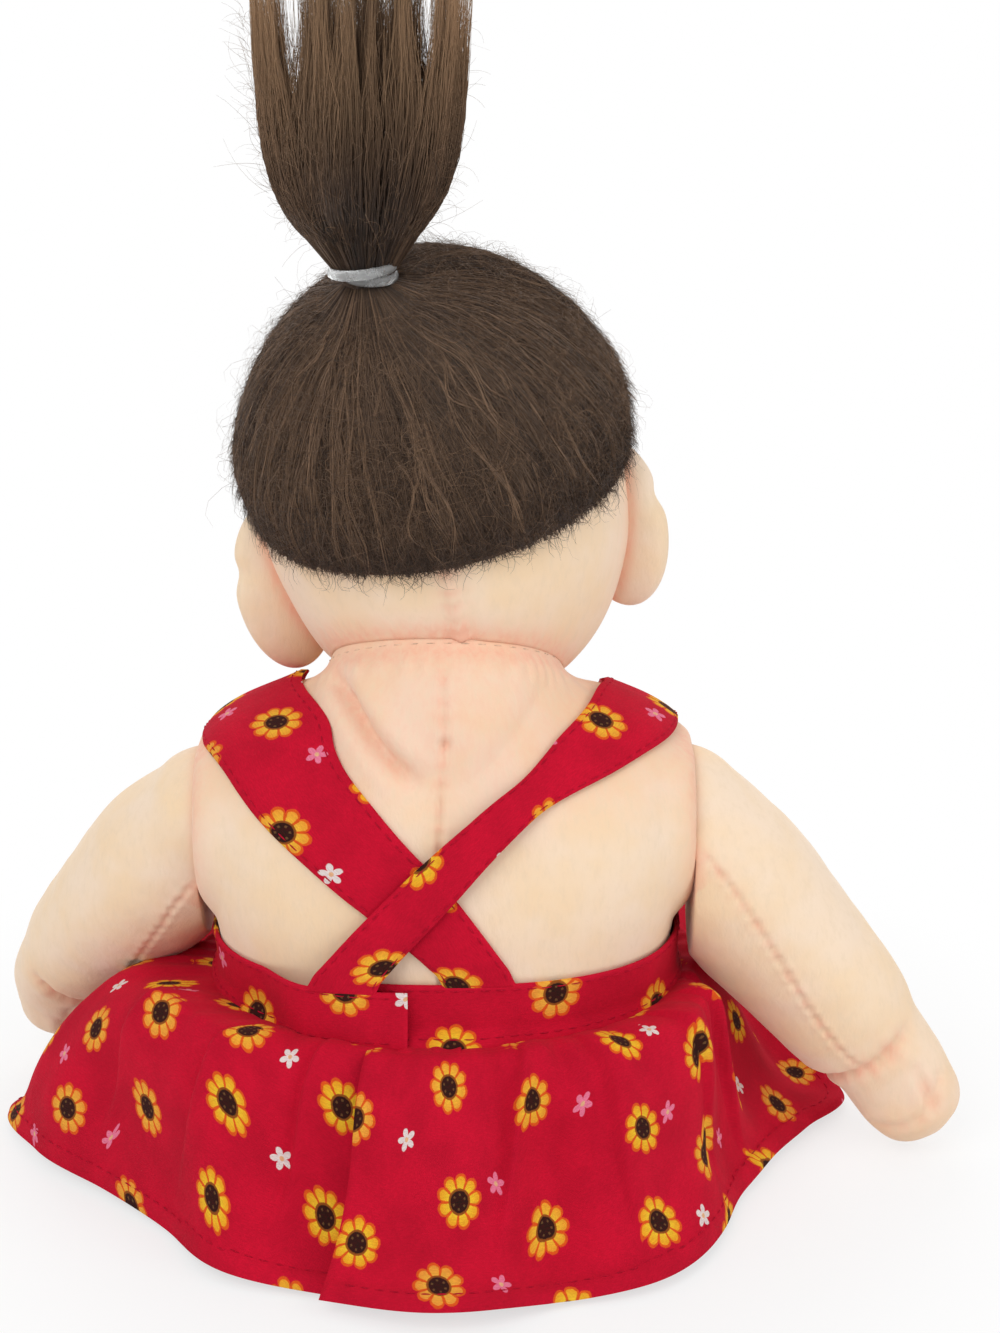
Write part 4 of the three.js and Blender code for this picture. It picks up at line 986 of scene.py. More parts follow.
def make_eye(side):
    name = SIDE_NAMES[side]
    axis = facing(side * EYE_AZIMUTH, EYE_ELEVATION)
    base = head_point(axis[None], np.array([SEAM_GAP]))[0]
    across = unit(np.cross([0, 0, 1], axis))
    over = np.cross(axis, across)
    steps = np.linspace(0, 86, 16)
    profile = [(EYE_RADIUS * 0.3, -6.0), (EYE_RADIUS * 0.3, -0.1), (EYE_RADIUS * 0.93, -0.1)]
    profile += [(EYE_RADIUS * cos(s), EYE_RISE * sin(s)) for s in steps]
    turns = np.linspace(0, 360, 48, endpoint=False)
    rings = [[base + r * (cos(t) * across + sin(t) * over) + h * axis for t in turns] for r, h in profile]
    points, faces = shell(to_world(np.array(rings)))
    apart = np.append(np.repeat([r / EYE_RADIUS for r, _ in profile], len(turns)), [0, 0])
    obj = add_object(f"{name}_eye_dome", mesh_from(f"{name}_eye_dome", points, faces, {"apart": apart}))
    dress_up(obj, "head", EYE, "eye_plastic", f"{name}_eye")


def make_nose():
    centre = head_point(facing(0, NOSE_ELEVATION)[None], np.zeros(1))[0]
    points, faces = globe(centre, [NOSE_WIDTH / 2, NOSE_HEIGHT / 2, NOSE_HEIGHT / 2], 64, 48)
    direction = unit(points)
    length = np.maximum(np.linalg.norm(points, axis=1), head_radius(direction) + 0.2)
    marks = {"blush_and_painted_shade": np.full(len(points), 0.35)}
    mesh = mesh_from("nose_pad", to_world(direction * length[:, None]), faces, marks)
    obj = add_object("nose_pad", mesh)
    dress_up(obj, "head", PLUSH, "skin_plush", "nose")


def make_mouth():
    share = np.linspace(-1, 1, 60)
    direction = facing(share * MOUTH_HALF_ANGLE, MOUTH_ELEVATION + 5 * share**2)
    line = to_world(head_point(direction, np.full(60, 0.75)))
    paths, radii = stitch_threads(line, direction @ HEAD_TURN.T, 2.6, -0.5, 0.62, 0.25)
    obj = threads("mouth_stitches", paths, radii, sides=8)
    dress_up(obj, "head", thread_material("mouth_thread", (0.47, 0.12, 0.1)), "mouth_thread", "mouth_stitch")


# Hair
HAIR_NORMAL = np.array([0, sin(HAIRLINE_TILT), cos(HAIRLINE_TILT)])
HAIRLINE_LEVEL = HAIRLINE_HEIGHT * cos(HAIRLINE_TILT)
TIE_DIRECTION = unit(np.array([TIE_SIDE, TIE_BACK, HEAD_HEIGHT / 2]))


def hair_offset(direction):
    return SEAM_GAP + HAIR_PILE + HAIR_MOUND * np.maximum(direction[..., 2], 0) ** 2


TIE_ROOT = head_point(TIE_DIRECTION[None], hair_offset(TIE_DIRECTION[None]))[0]
TAIL_TURN = turn_x(-PONYTAIL_BACK_LEAN) @ turn_y(PONYTAIL_SIDE_LEAN)


def scalp_direction(turn, climb):
    """Directions over the scalp: turn round the hairline, and climb from the hairline, 0, to its pole, 1."""
    turn, climb = np.broadcast_arrays(np.asarray(turn, float), np.asarray(climb, float))
    flat = np.stack([sin(turn), cos(turn) * cos(HAIRLINE_TILT), -cos(turn) * sin(HAIRLINE_TILT)], -1)
    low = np.full(turn.shape, 0.0)
    for _ in range(8):
        direction = cos(low)[..., None] * flat + sin(low)[..., None] * HAIR_NORMAL
        height = head_radius(direction) * (direction @ HAIR_NORMAL)
        low = low + (HAIRLINE_LEVEL - height) * 1.4
    angle = mix(low, 90.0, climb)
    return cos(angle)[..., None] * flat + sin(angle)[..., None] * HAIR_NORMAL


def cap_offset(direction, climb):
    """How far the hair stands off the head: little at the hairline, and its full pile above."""
    return 0.7 + (hair_offset(direction) - 0.7) * smooth(climb, -0.08, 0.24)


def arc_between(start, end, t):
    """Directions along the great circles from each start direction to one end direction."""
    angle = np.arccos(np.clip(start @ end, -1, 1))[:, None]
    mixed = np.sin((1 - t) * angle)[..., None] * start[:, None, :] + np.sin(t * angle)[..., None] * end
    return mixed / np.sin(angle)[..., None]


def make_hair_base():
    """The backing and dense underlayer of the hair under the strands, dark with painted shade between them.
    """
    climb = np.concatenate([[0, 0.0], np.linspace(0.012, 0.985, 56)])[:, None]
    turn = np.linspace(0, 360, 150, endpoint=False)[None, :]
    direction = scalp_direction(turn, climb)
    offset = np.maximum(cap_offset(direction, climb) - 0.9, 0.7)
    offset = np.where(np.arange(len(climb))[:, None] == 0, SEAM_GAP, offset)
    points, faces = shell(to_world(head_point(direction, offset)))
    # The dark shade of the base is painted shade between the strands
    marks = {"shade": np.full(len(points), 0.16), "tip": np.zeros(len(points))}
    obj = add_object("hair_cap_base", mesh_from("hair_cap_base", points, faces, marks))
    dress_up(obj, "head", HAIR, "hair_fabric", "hair_cap")


def into_tie(points, spin, t):
    """Bends the ends of strands up into the elastic, each to its own place in the bundle."""
    gather = smooth(t, 0.86, 1.0)[..., None]
    spot = rng.uniform(0, 1, len(points)) ** 0.5 * PONYTAIL_NECK * 0.9
    inside = np.stack([np.cos(spin) * spot, np.sin(spin) * spot, np.full(len(points), TIE_HEIGHT - 1.0)], -1)
    inside = inside @ TAIL_TURN.T + TIE_ROOT
    return points * (1 - gather) + inside[:, None, :] * gather


def hair_threads(name, paths, radii, shade, tip=0.0):
    """Strands of hair, each with its shade, and with how light it is along its length."""
    dress_up(threads(name, paths, radii, {"shade": shade, "tip": tip}), "head", HAIR, "hair_fabric")


def make_hair_cap():
    """Combed strands from all over the scalp to the tie, drawn loosely into locks."""
    locks = 210
    lock_turn = np.arange(locks) * 360 / locks + rng.normal(0, 0.8, locks)
    lock_lift = rng.normal(0, 0.3, locks)
    lock_sway = rng.normal(0, 0.03, locks)
    lock_shade = np.clip(rng.normal(0.27, 0.12, locks), 0.04, 0.7)
    count = 4900
    t = np.linspace(0, 1, 7)[None, :]
    for sheet in range(3):
        lock = rng.integers(0, locks, count)
        turn = lock_turn[lock] + rng.normal(0, 1.2, count)
        climb = np.where(rng.uniform(0, 1, count) < 0.4, rng.uniform(-0.012, 0.05, count),
                         rng.uniform(0, 1, count) ** 1.3 * 0.8)
        root = scalp_direction(turn, climb)
        reach = np.where(rng.uniform(0, 1, count) < 0.5, 1.0, rng.uniform(0.3, 0.95, count))[:, None]
        s = t * reach
        own = arc_between(root, TIE_DIRECTION, s)
        shared = arc_between(scalp_direction(lock_turn[lock], climb), TIE_DIRECTION, s)
        direction = mix(own, shared, (0.5 * smooth(s, 0.1, 0.6))[..., None])
        sideways = unit(np.cross(root, TIE_DIRECTION))[:, None, :]
        bend = lock_sway[lock][:, None] * np.sin(s * 5 + lock[:, None])
        bend = bend + rng.normal(0, 0.014, count)[:, None] * np.sin(s * 11 + 3 * root[:, :1])
        direction = unit(direction + sideways * (bend * (1 - s))[..., None])
        rise = (lock_lift[lock] + rng.normal(0, 0.18, count))[:, None] * np.sin(s * 3.0) * smooth(s, 0, 0.15)
        points = head_point(direction, cap_offset(direction, climb[:, None] + s) + rise)
        points += rng.normal(0, 0.12, points.shape) * (1 - smooth(s, 0.7, 0.9))[..., None]
        points = into_tie(points, np.arctan2(root[:, 1], root[:, 0]), s)
        width = rng.uniform(0.05, 0.11, count)[:, None] * (1 - 0.7 * smooth(t, 0.6, 1) * (reach < 1))
        shade = np.clip(lock_shade[lock] * rng.uniform(0.3, 1.6, count), 0.02, 1)[:, None]
        # Darker towards the hairline: painted shade at the roots
        shade = shade * mix(0.5, 1.0, smooth(climb[:, None] + s, 0, 0.35))
        hair_threads(f"hair_cap_strands_{sheet + 1}", to_world(points), width, shade)


def make_hair_locks():
    """Loose wavy locks of lighter hair that lie over the cap."""
    locks, hairs = 260, 6
    lock = np.repeat(np.arange(locks), hairs)
    count = len(lock)
    climb = (rng.uniform(0, 1, locks) ** 2 * 0.5)[lock]
    root = scalp_direction(rng.uniform(0, 360, locks)[lock], climb)
    t = np.linspace(0, 1, 15)[None, :]
    s = t * rng.uniform(0.35, 1.0, locks)[lock][:, None]
    pace, phase = rng.uniform(8, 20, (2, locks))[:, lock, None]
    wave = rng.uniform(0.015, 0.05, locks)[lock][:, None] * np.sin(s * pace + phase)
    own = rng.normal(0, 0.007, count)[:, None] + rng.normal(0, 0.008, count)[:, None] * np.sin(s * 7 + phase)
    sideways = unit(np.cross(root, TIE_DIRECTION))[:, None, :]
    direction = arc_between(root, TIE_DIRECTION, s)
    direction = unit(direction + sideways * ((wave + own) * (1 - s))[..., None])
    lift = rng.uniform(0.2, 0.8, count)[:, None] * np.sin(t * math.pi) ** 0.5
    points = head_point(direction, cap_offset(direction, climb[:, None] + s) + lift)
    points = into_tie(points, np.arctan2(root[:, 1], root[:, 0]), s)
    width = rng.uniform(0.035, 0.065, count)[:, None] * (1 - 0.6 * smooth(t, 0.7, 1))
    shade = np.clip(rng.uniform(0.25, 0.95, locks)[lock] * rng.uniform(0.7, 1.2, count), 0, 1)[:, None]
    hair_threads("hair_cap_locks", to_world(points), width, shade)


def loose_fibres(name, turn, climb, stand, length, heading, curl, radius, shade):
    """Short fibres that start on the hair's surface; heading is the angle from the combed way, 180 hangs."""
    t = np.linspace(0, 1, 5)[None, :]
    root = scalp_direction(turn, climb)
    up = unit(TIE_DIRECTION - root * (root @ TIE_DIRECTION)[:, None])
    aside = np.cross(root, up)
    angle = np.radians(heading)[:, None] + curl[:, None] * t
    steps = np.stack([np.cos(angle), np.sin(angle)], -1) * (length / 4)[:, None, None]
    walk = np.cumsum(steps, axis=1) - steps[:, :1]
    start = head_point(root, cap_offset(root, climb))
    arch = stand[:, None] * np.sin(np.clip(t * 2.4, 0, math.pi)) - 0.3 * (1 - t)
    points = start[:, None, :] + up[:, None, :] * walk[..., :1] + aside[:, None, :] * walk[..., 1:]
    sink = np.linalg.norm(points, axis=-1)
    floor = head_radius(unit(points)) + 0.35
    points = unit(points) * np.maximum(sink + arch, floor)[..., None]
    width = radius[:, None] * (1 - 0.75 * t)
    hair_threads(name, to_world(points), width, shade[:, None])


def make_loose_hair():
    """The woolly nap over the cap, the ragged hairline, and hairs that stray off the surface."""
    nap = 7200
    for sheet in range(3):
        turn, climb = rng.uniform(0, 360, nap), rng.beta(1.0, 2.2, nap) * 0.85
        tuft = ripple(head_point(scalp_direction(turn, climb), np.zeros(nap)), 7, 50)
        stand = rng.uniform(0.2, 1.2, nap) + 0.5 * np.maximum(tuft, 0)
        length = rng.uniform(2.0, 6.0, nap)
        heading = rng.normal(0, 65, nap)
        curl = rng.normal(0, 3.0, nap)
        radius = rng.uniform(0.035, 0.07, nap)
        # Fibres on the raised tufts are lighter and those in the pits darker, and all are darker towards the
        # hairline: painted light and shade
        shade = np.clip(0.3 + 0.34 * tuft + rng.normal(0, 0.2, nap), 0, 1)
        shade = shade * mix(0.4, 1, smooth(climb, 0, 0.3))
        loose_fibres(f"hair_cap_nap_{sheet + 1}", turn, climb, stand, length, heading, curl, radius, shade)
    edge = 2600
    low = rng.uniform(0, 1, edge) < 0.3
    loose_fibres("hairline_wisps", rng.uniform(0, 360, edge), rng.uniform(-0.01, 0.04, edge),
                 rng.uniform(0.05, 0.7, edge), rng.gamma(2.0, 0.7, edge) + 0.6,
                 np.where(low, rng.normal(180, 50, edge), rng.normal(0, 75, edge)), rng.normal(0, 2.0, edge),
                 rng.uniform(0.03, 0.06, edge), rng.uniform(0.05, 0.6, edge))
    # The stray hairs get a light shade: painted sheen of the fuzz round the hair's outline
    stray = 7000
    loose_fibres("stray_hairs", rng.uniform(0, 360, stray), rng.uniform(0.0, 0.9, stray),
                 rng.gamma(2.0, 0.65, stray), rng.uniform(3, 9, stray), rng.normal(0, 55, stray),
                 rng.normal(0, 1.9, stray), rng.uniform(0.018, 0.034, stray), rng.uniform(0.5, 1.0, stray))


# Rows: height above the elastic and share of the ponytail's width
TAIL_SPREAD = [
    [-6, 0.15], [2.4, 0.17], [4.5, 0.42], [8.3, 0.62], [13, 0.76], [18, 0.84], [24, 0.89], [31, 0.92],
    [41, 0.95], [62, 0.97],
]
# How far it leans to the doll's right for each millimetre of height
TAIL_DRIFT = 0.06
# Rows of the bundles into which it parts: edges at the foot, middle and half width at the top, shade
TAIL_BUNDLES = [
    [1.0, 0.66, 0.88, 0.1, 0.6], [0.66, 0.4, 0.39, 0.1, 0.42], [0.4, 0.06, 0.16, 0.12, 0.26],
    [0.06, -0.26, -0.1, 0.13, 0.2], [-0.26, -0.58, -0.39, 0.09, 0.3], [-0.58, -1.0, -0.82, 0.14, 0.6],
]


def tail_to_world(points):
    return to_world(points @ TAIL_TURN.T + TIE_ROOT)


def tail_section(height):
    """Half width and half depth of the ponytail at a height above its root."""
    spread = between(TAIL_SPREAD, np.maximum(height - TIE_HEIGHT, -6))[0]
    tight = 1 - smooth(height - TIE_HEIGHT, 2.4, 4.5)
    wide = mix(spread * PONYTAIL_WIDTH / 2, PONYTAIL_NECK * 0.92, tight)
    deep = mix(spread * PONYTAIL_DEPTH / 2, PONYTAIL_NECK * 0.92, tight)
    return wide, deep


def make_tail_core():
    heights = np.concatenate([[-2.0], np.linspace(0, 34, 34)])[:, None]
    turns = np.linspace(0, 360, 48, endpoint=False)[None, :]
    wide, deep = tail_section(heights)
    thin = 0.75 * (1 - 0.95 * smooth(heights, 8, 28))
    rings = np.stack([wide * thin * cos(turns), deep * thin * sin(turns), heights + 0 * turns], -1)
    points, faces = shell(tail_to_world(rings))
    marks = {"shade": np.full(len(points), 0.2), "tip": np.zeros(len(points))}
    core = add_object("ponytail_core", mesh_from("ponytail_core", points, faces, marks))
    dress_up(core, "head", HAIR, "hair_fabric", "ponytail")


def make_ponytail():
    """The gathered hair above the elastic: it fans out, parts into bundles and ends at many lengths."""
    make_tail_core()
    locks = 96
    left, right, middle, half, tone = np.array(TAIL_BUNDLES)[np.arange(locks) % len(TAIL_BUNDLES)].T
    spot = rng.uniform(0, 1, locks)
    lock_foot, lock_top = mix(left, right, spot), middle + half * (1 - 2 * spot)
    lock_depth = rng.uniform(-1, 1, locks)
    lock_length = rng.uniform(0.84, 1.0, locks)
    lock_sway = rng.normal(0, 0.035, locks)
    lock_shade = np.clip(tone + rng.normal(0, 0.13, locks), 0.06, 1)
    count = 3900
    t = np.linspace(0, 1, 9)[None, :]
    for sheet in range(3):
        lock = rng.integers(0, locks, count)
        loose = np.where(rng.uniform(0, 1, count) < 0.2, 2.8, 1.0)
        length = PONYTAIL_LENGTH * lock_length[lock] * rng.uniform(0.4, 1.0, count) ** 0.6
        height = 1.0 + (length[:, None] - 1.0) * t**0.85
        part = smooth(height - TIE_HEIGHT, 10, 42)
        aside, behind = rng.normal(0, 0.05, (2, count)) * loose
        x = mix(lock_foot[lock][:, None], lock_top[lock][:, None], part) + aside[:, None] * (1.6 - part)
        x = x + lock_sway[lock][:, None] * np.sin(height * 0.13 + lock[:, None]) * part
        x = x + rng.normal(0, 0.022, count)[:, None] * np.sin(height * 0.3 + 9 * aside[:, None] / 0.045)
        rounded = np.sqrt(np.maximum(1 - x**2, 0))
        y = lock_depth[lock][:, None] * rounded * (1 - 0.25 * part) + behind[:, None] * 2
        place = np.stack([x, y], -1)
        place = place / np.maximum(np.linalg.norm(place, axis=-1, keepdims=True), 1)
        place = place + rng.normal(0, 0.008, place.shape) * smooth(t, 0.2, 0.4)[..., None]
        wide, deep = tail_section(height)
        drift = TAIL_DRIFT * np.maximum(height - TIE_HEIGHT - 8, 0)
        points = np.stack([place[..., 0] * wide - drift, place[..., 1] * deep, height], -1)
        width = rng.uniform(0.035, 0.07, count)[:, None] * (1 - 0.75 * smooth(t, 0.5, 1))
        low = mix(0.72, 1.0, smooth(height - TIE_HEIGHT, 12, 40))
        shade = np.clip(lock_shade[lock] * rng.uniform(0.35, 1.45, count), 0.02, 1)[:, None] * low
        rim = smooth(np.linalg.norm(place, axis=-1), 0.45, 1.0)
        tip = smooth(height, 18, 54) * (0.15 + 0.75 * rim)
        hair_threads(f"ponytail_strands_{sheet + 1}", tail_to_world(points), width, shade, tip)


def make_fly_aways():
    """Fine short hairs that stand off the sides of the ponytail in loose curls."""
    count = 1500
    t = np.linspace(0, 1, 7)[None, :]
    turn = rng.uniform(0, 360, count)
    foot = TIE_HEIGHT + 3 + rng.beta(1.0, 1.6, count) * 42
    wide, deep = tail_section(foot)
    out = np.stack([cos(turn), sin(turn), np.zeros(count)], -1)
    start = np.stack([cos(turn) * wide, sin(turn) * deep, foot], -1) * np.array([0.95, 0.95, 1])
    lean = np.radians(rng.normal(30, 24, count))[:, None] + rng.normal(0, 1.5, count)[:, None] * t
    step = (rng.gamma(1.5, 1.6, count) + 1.2)[:, None] / 6
    away = np.cumsum(np.sin(lean) * step, axis=1)
    rise = np.cumsum(np.cos(lean) * step, axis=1)
    swirl = np.cumsum(rng.normal(0, 0.5, count)[:, None] * np.sin(t * 5 + turn[:, None]) * step, axis=1)
    aside = np.stack([-sin(turn), cos(turn), np.zeros(count)], -1)
    points = start[:, None, :] + out[:, None, :] * away[..., None] + aside[:, None, :] * swirl[..., None]
    points[..., 2] += rise
    width = rng.uniform(0.018, 0.034, count)[:, None] * (1 - 0.6 * t)
    shade = rng.uniform(0.2, 0.9, count)[:, None]
    hair_threads("ponytail_fly_aways", tail_to_world(points), width, shade, 0.3)


def make_elastic():
    steps = 96 * ELASTIC_LOOPS
    share = np.arange(steps) / steps
    turn_step = (ELASTIC_WIDTH + ELASTIC_STRAND_GAP) / 2 / math.sin(math.pi / ELASTIC_LOOPS)
    ring = PONYTAIL_NECK + SEAM_GAP + turn_step + ELASTIC_WIDTH / 2 * ELASTIC_FLATNESS
    turn, twist = 360 * ELASTIC_LOOPS * share, 360 * share
    radius = ring + turn_step * cos(twist)
    line = np.stack([radius * cos(turn), radius * sin(turn), TIE_HEIGHT + turn_step * sin(twist)], -1)
    along = unit(np.roll(line, -1, 0) - np.roll(line, 1, 0))
    out = unit(np.cross(along, [0, 0, 1.0]))
    over = np.cross(out, along)
    sides = 14
    spin = np.linspace(0, 360, sides, endpoint=False)
    oval = np.stack([ELASTIC_FLATNESS * cos(spin), sin(spin)], -1) * ELASTIC_WIDTH / 2
    points = line[:, None, :] + oval[None, :, :1] * out[:, None, :] + oval[None, :, 1:] * over[:, None, :]
    i, j = np.meshgrid(np.arange(steps), np.arange(sides), indexing="ij")
    a, b = i * sides + j, i * sides + (j + 1) % sides
    c, d = ((i + 1) % steps) * sides + (j + 1) % sides, ((i + 1) % steps) * sides + j
    quads = np.stack([a, d, c, b], -1).reshape(-1, 4)
    mesh = mesh_from("hair_elastic_band", tail_to_world(points.reshape(-1, 3)), [quads])
    obj = add_object("hair_elastic_band", mesh)
    dress_up(obj, "head", elastic_material(), "clear_elastic", "hair_elastic")


# Arms
def limb_rings(line, radii, flatness, sides, steps):
    """Rings along a line of points whose thickness and flatness follow a table of shares."""
    line = np.asarray(line, float)
    travelled = lengths_along(line)
    share = np.linspace(radii[0][0], radii[-1][0], steps)
    centre = np.stack([np.interp(share * travelled[-1], travelled, line[:, k]) for k in range(3)], -1)
    radius, flat = between(radii, share)
    along = unit(np.gradient(centre, axis=0))
    side = unit(np.cross(along, [0, 1.0, 0]))
    front = np.cross(side, along)
    spin = np.linspace(0, 360, sides, endpoint=False)
    thin = mix(1.0, flatness, flat)
    return (centre[:, None, :] + radius[:, None, None] * cos(spin)[None, :, None] * side[:, None, :]
            + (radius * thin)[:, None, None] * sin(spin)[None, :, None] * front[:, None, :]), centre, radius


def make_arm(side):
    name = SIDE_NAMES[side]
    bend = np.linspace(0, 1, 24)
    upper = np.stack([0 * bend, 0 * bend, -ARM_LENGTH * bend], -1)
    curve = HAND_BEND[side] * np.minimum(bend * 2, 1)
    hand = np.stack(
        [-sin(curve) * HAND_LENGTH * bend, 0 * bend, -ARM_LENGTH - cos(curve) * HAND_LENGTH * bend], -1)
    wrist = ARM_LENGTH / (ARM_LENGTH + HAND_LENGTH)
    thick, narrow, palm = ARM_THICKNESS / 2, WRIST_THICKNESS / 2, HAND_WIDTH / 2
    radii = [
        [0, ARM_BALL, 0], [wrist * 0.3, thick, 0], [wrist * 0.62, thick * 0.92, 0],
        [wrist * 0.85, mix(thick, narrow, 0.5), 0.3], [wrist, narrow, 0.8],
        [mix(wrist, 1, 0.35), palm, 1], [mix(wrist, 1, 0.72), palm * 0.9, 1],
        [mix(wrist, 1, 0.88), palm * 0.66, 1], [mix(wrist, 1, 0.998), palm * 0.12, 1],
    ]
    rings, centre, radius = limb_rings(np.concatenate([upper, hand[1:]]), radii, HAND_FLATNESS, 56, 70)
    tip = hand[-1]
    thumb = mix(tip, upper[-1], 0.42) + np.array([palm * 0.35, -palm * HAND_FLATNESS * 0.75, 0])
    ball = globe([0, 0, 0], [ARM_BALL] * 3)
    lobe = globe(thumb, np.array([1, 1, 1.7]) * THUMB_RADIUS, 24, 18)
    turn = turn_x(-ARM_FORWARD[side]) @ turn_y(-side * ARM_SPREAD[side])
    origin = SHOULDER * np.array([side, 1, 1])

    def place(points):
        return (points * np.array([side, 1, 1])) @ turn.T + origin

    def placed(shape):
        points, (quads, fans) = shape
        flip = slice(None, None, side)
        return place(points), (quads[:, flip], fans[:, flip])

    obj = fuse(f"{name}_arm_plush", [placed(shell(rings)), placed(ball), placed(lobe)], 0.62, 6)
    mesh = obj.data
    points = coordinates(mesh)
    blush_and_painted_shade = np.zeros(len(points))
    # The long seam runs from the armpit along the back of the arm to the wrist
    share = np.linspace(0.06, wrist, 30)
    middle = np.stack([np.interp(share, np.linspace(0, 1, len(centre)), centre[:, k]) for k in range(3)], -1)
    wide = np.interp(share, np.linspace(0, 1, len(radius)), radius)
    spin = mix(86.0, 112.0, smooth(share, 0.1, 0.75))
    long_seam = place(middle + wide[:, None] * np.stack([cos(spin), sin(spin), 0 * spin], -1))
    blush_and_painted_shade = blush_and_painted_shade + sew(mesh, on_skin(mesh, long_seam), 0.4, 0.4, 0.2, 0.65)
    # A sewn tuck pinches the wrist on the outside and the back
    spin = np.linspace(50, 200, 30)
    tuck = upper[-1] + np.array([0, 0, 1.5]) + narrow * np.stack(
        [cos(spin), 0.92 * sin(spin), 0.16 * np.cos(np.radians(spin * 2))], -1)
    blush_and_painted_shade = blush_and_painted_shade + sew(mesh, on_skin(mesh, place(tuck)), 1.0, 1.2, 0.1, 0.8)
    # The fingers curl in at the tip, and a crease parts them from the thumb
    for crease in ([[6.5, 4, 11], [3.5, 7, 7.5], [0, 8, 6], [-4, 7, 7], [-6.5, 4, 10]],
                   [[3, 8, 7], [4.5, 8, 11], [5.5, 7, 15]]):
        blush_and_painted_shade = blush_and_painted_shade + sew(mesh, on_skin(mesh, place(tip + np.array(crease))), 0.8, 0.9, 0.0, 0.35)
    points = coordinates(mesh)
    points = push(mesh, points, 0.3 * ripple(points, 21, 20 + side) + 0.12 * ripple(points, 8, 30 + side))
    # The root is sunk a little into the flank that it is sewn to, and the armpit stays clear of it
    around = np.linalg.norm(points[:, 1:] - origin[1:], axis=1)
    flank = CHEST_WIDTH / 2 + mix(-0.6, 0.5, smooth(around, 12.4, 14))
    apart = np.linalg.norm(points - origin, axis=1)
    inside = (points[:, 0] * side < flank) & (apart > ARM_BALL)
    points[inside, 0] = side * flank[inside]
    points[:, 2] = np.maximum(points[:, 2], 0.2)
    # Pink painted shade where the arm meets the flank
    blush_and_painted_shade = blush_and_painted_shade + 0.7 * np.exp(-((points[:, 0] * side - flank) / 1.6) ** 2) * (apart < ARM_BALL * 1.35)
    hand_end = place(tip[None])[0]
    # A pink tint towards the hand
    blush_and_painted_shade = blush_and_painted_shade + 0.25 * np.exp(-(np.linalg.norm(points - hand_end, axis=1) / 13) ** 2)
    finish_plush(obj, points, blush_and_painted_shade, f"{name}_arm", 0.75, f"{name}_arm_cover", f"{name}_arm_stuffing")


# Legs
def make_leg(side):
    name = SIDE_NAMES[side]
    thigh, ankle = THIGH_THICKNESS / 2, ANKLE_THICKNESS / 2
    radii = [
        [0, LEG_BALL * 0.9], [0.25, thigh], [0.55, mix(thigh, ankle, 0.4)],
        [0.78, mix(thigh, ankle, 0.55)], [1, ankle],
    ]
    share = np.linspace(0, 1, 40)
    radius = between(radii, share)[0]
    spin = np.linspace(0, 360, 56, endpoint=False)
    rings = np.stack([radius[:, None] * cos(spin), -LEG_LENGTH * share[:, None] + 0 * spin,
                      radius[:, None] * sin(spin)], -1)
    sole = FOOT_HEIGHT / 2 - HEEL_FLAT - HIP[2]
    foot_centre = np.array([0, -LEG_LENGTH - FOOT_LENGTH * 0.3, sole])
    foot = globe(foot_centre, [FOOT_WIDTH / 2, FOOT_LENGTH / 2, FOOT_HEIGHT / 2], 48, 34)
    ball = globe([0, 0, 0], [LEG_BALL] * 3)
    turn = turn_z(side * LEG_SPLAY)
    origin = HIP * np.array([side, 1, 1])

    def place(points):
        return points @ turn.T + origin

    shapes = [(place(points), (quads[:, ::-1], fans[:, ::-1])) for points, (quads, fans) in [shell(rings)]]
    shapes += [(place(points), faces) for points, faces in (foot, ball)]
    obj = fuse(f"{name}_leg_plush", shapes, 0.75, 6)
    mesh = obj.data
    points = coordinates(mesh)
    top_seam = place(np.stack([0 * share, -LEG_LENGTH * share * 0.95, radius * 0.99], -1)[6:])
    blush_and_painted_shade = sew(mesh, top_seam, 0.5, 0.7, 0.14)
    spin = np.linspace(0, 360, 60)
    rim = foot_centre + np.stack([FOOT_WIDTH / 2 * 0.8 * cos(spin), 0 * spin - FOOT_LENGTH * 0.28,
                                  FOOT_HEIGHT / 2 * 0.82 * sin(spin)], -1)
    blush_and_painted_shade = blush_and_painted_shade + sew(mesh, place(rim), 0.5, 0.7, 0.12)
    points = coordinates(mesh)
    points = push(mesh, points, 0.3 * ripple(points, 22, 40 + side))
    points[:, 2] = np.maximum(points[:, 2], 0)
    finish_plush(obj, points, blush_and_painted_shade, f"{name}_leg", 0.75, f"{name}_leg_cover", f"{name}_leg_stuffing")


# Dress
BAND_TOP = WAIST_HEIGHT + BAND_HEIGHT
BIB_TOP = BAND_TOP + SEAM_GAP + BIB_HEIGHT


def layer(count, tapes):
    return SEAM_GAP + count * (COTTON + SEAM_GAP) + tapes * (TAPE + SEAM_GAP)


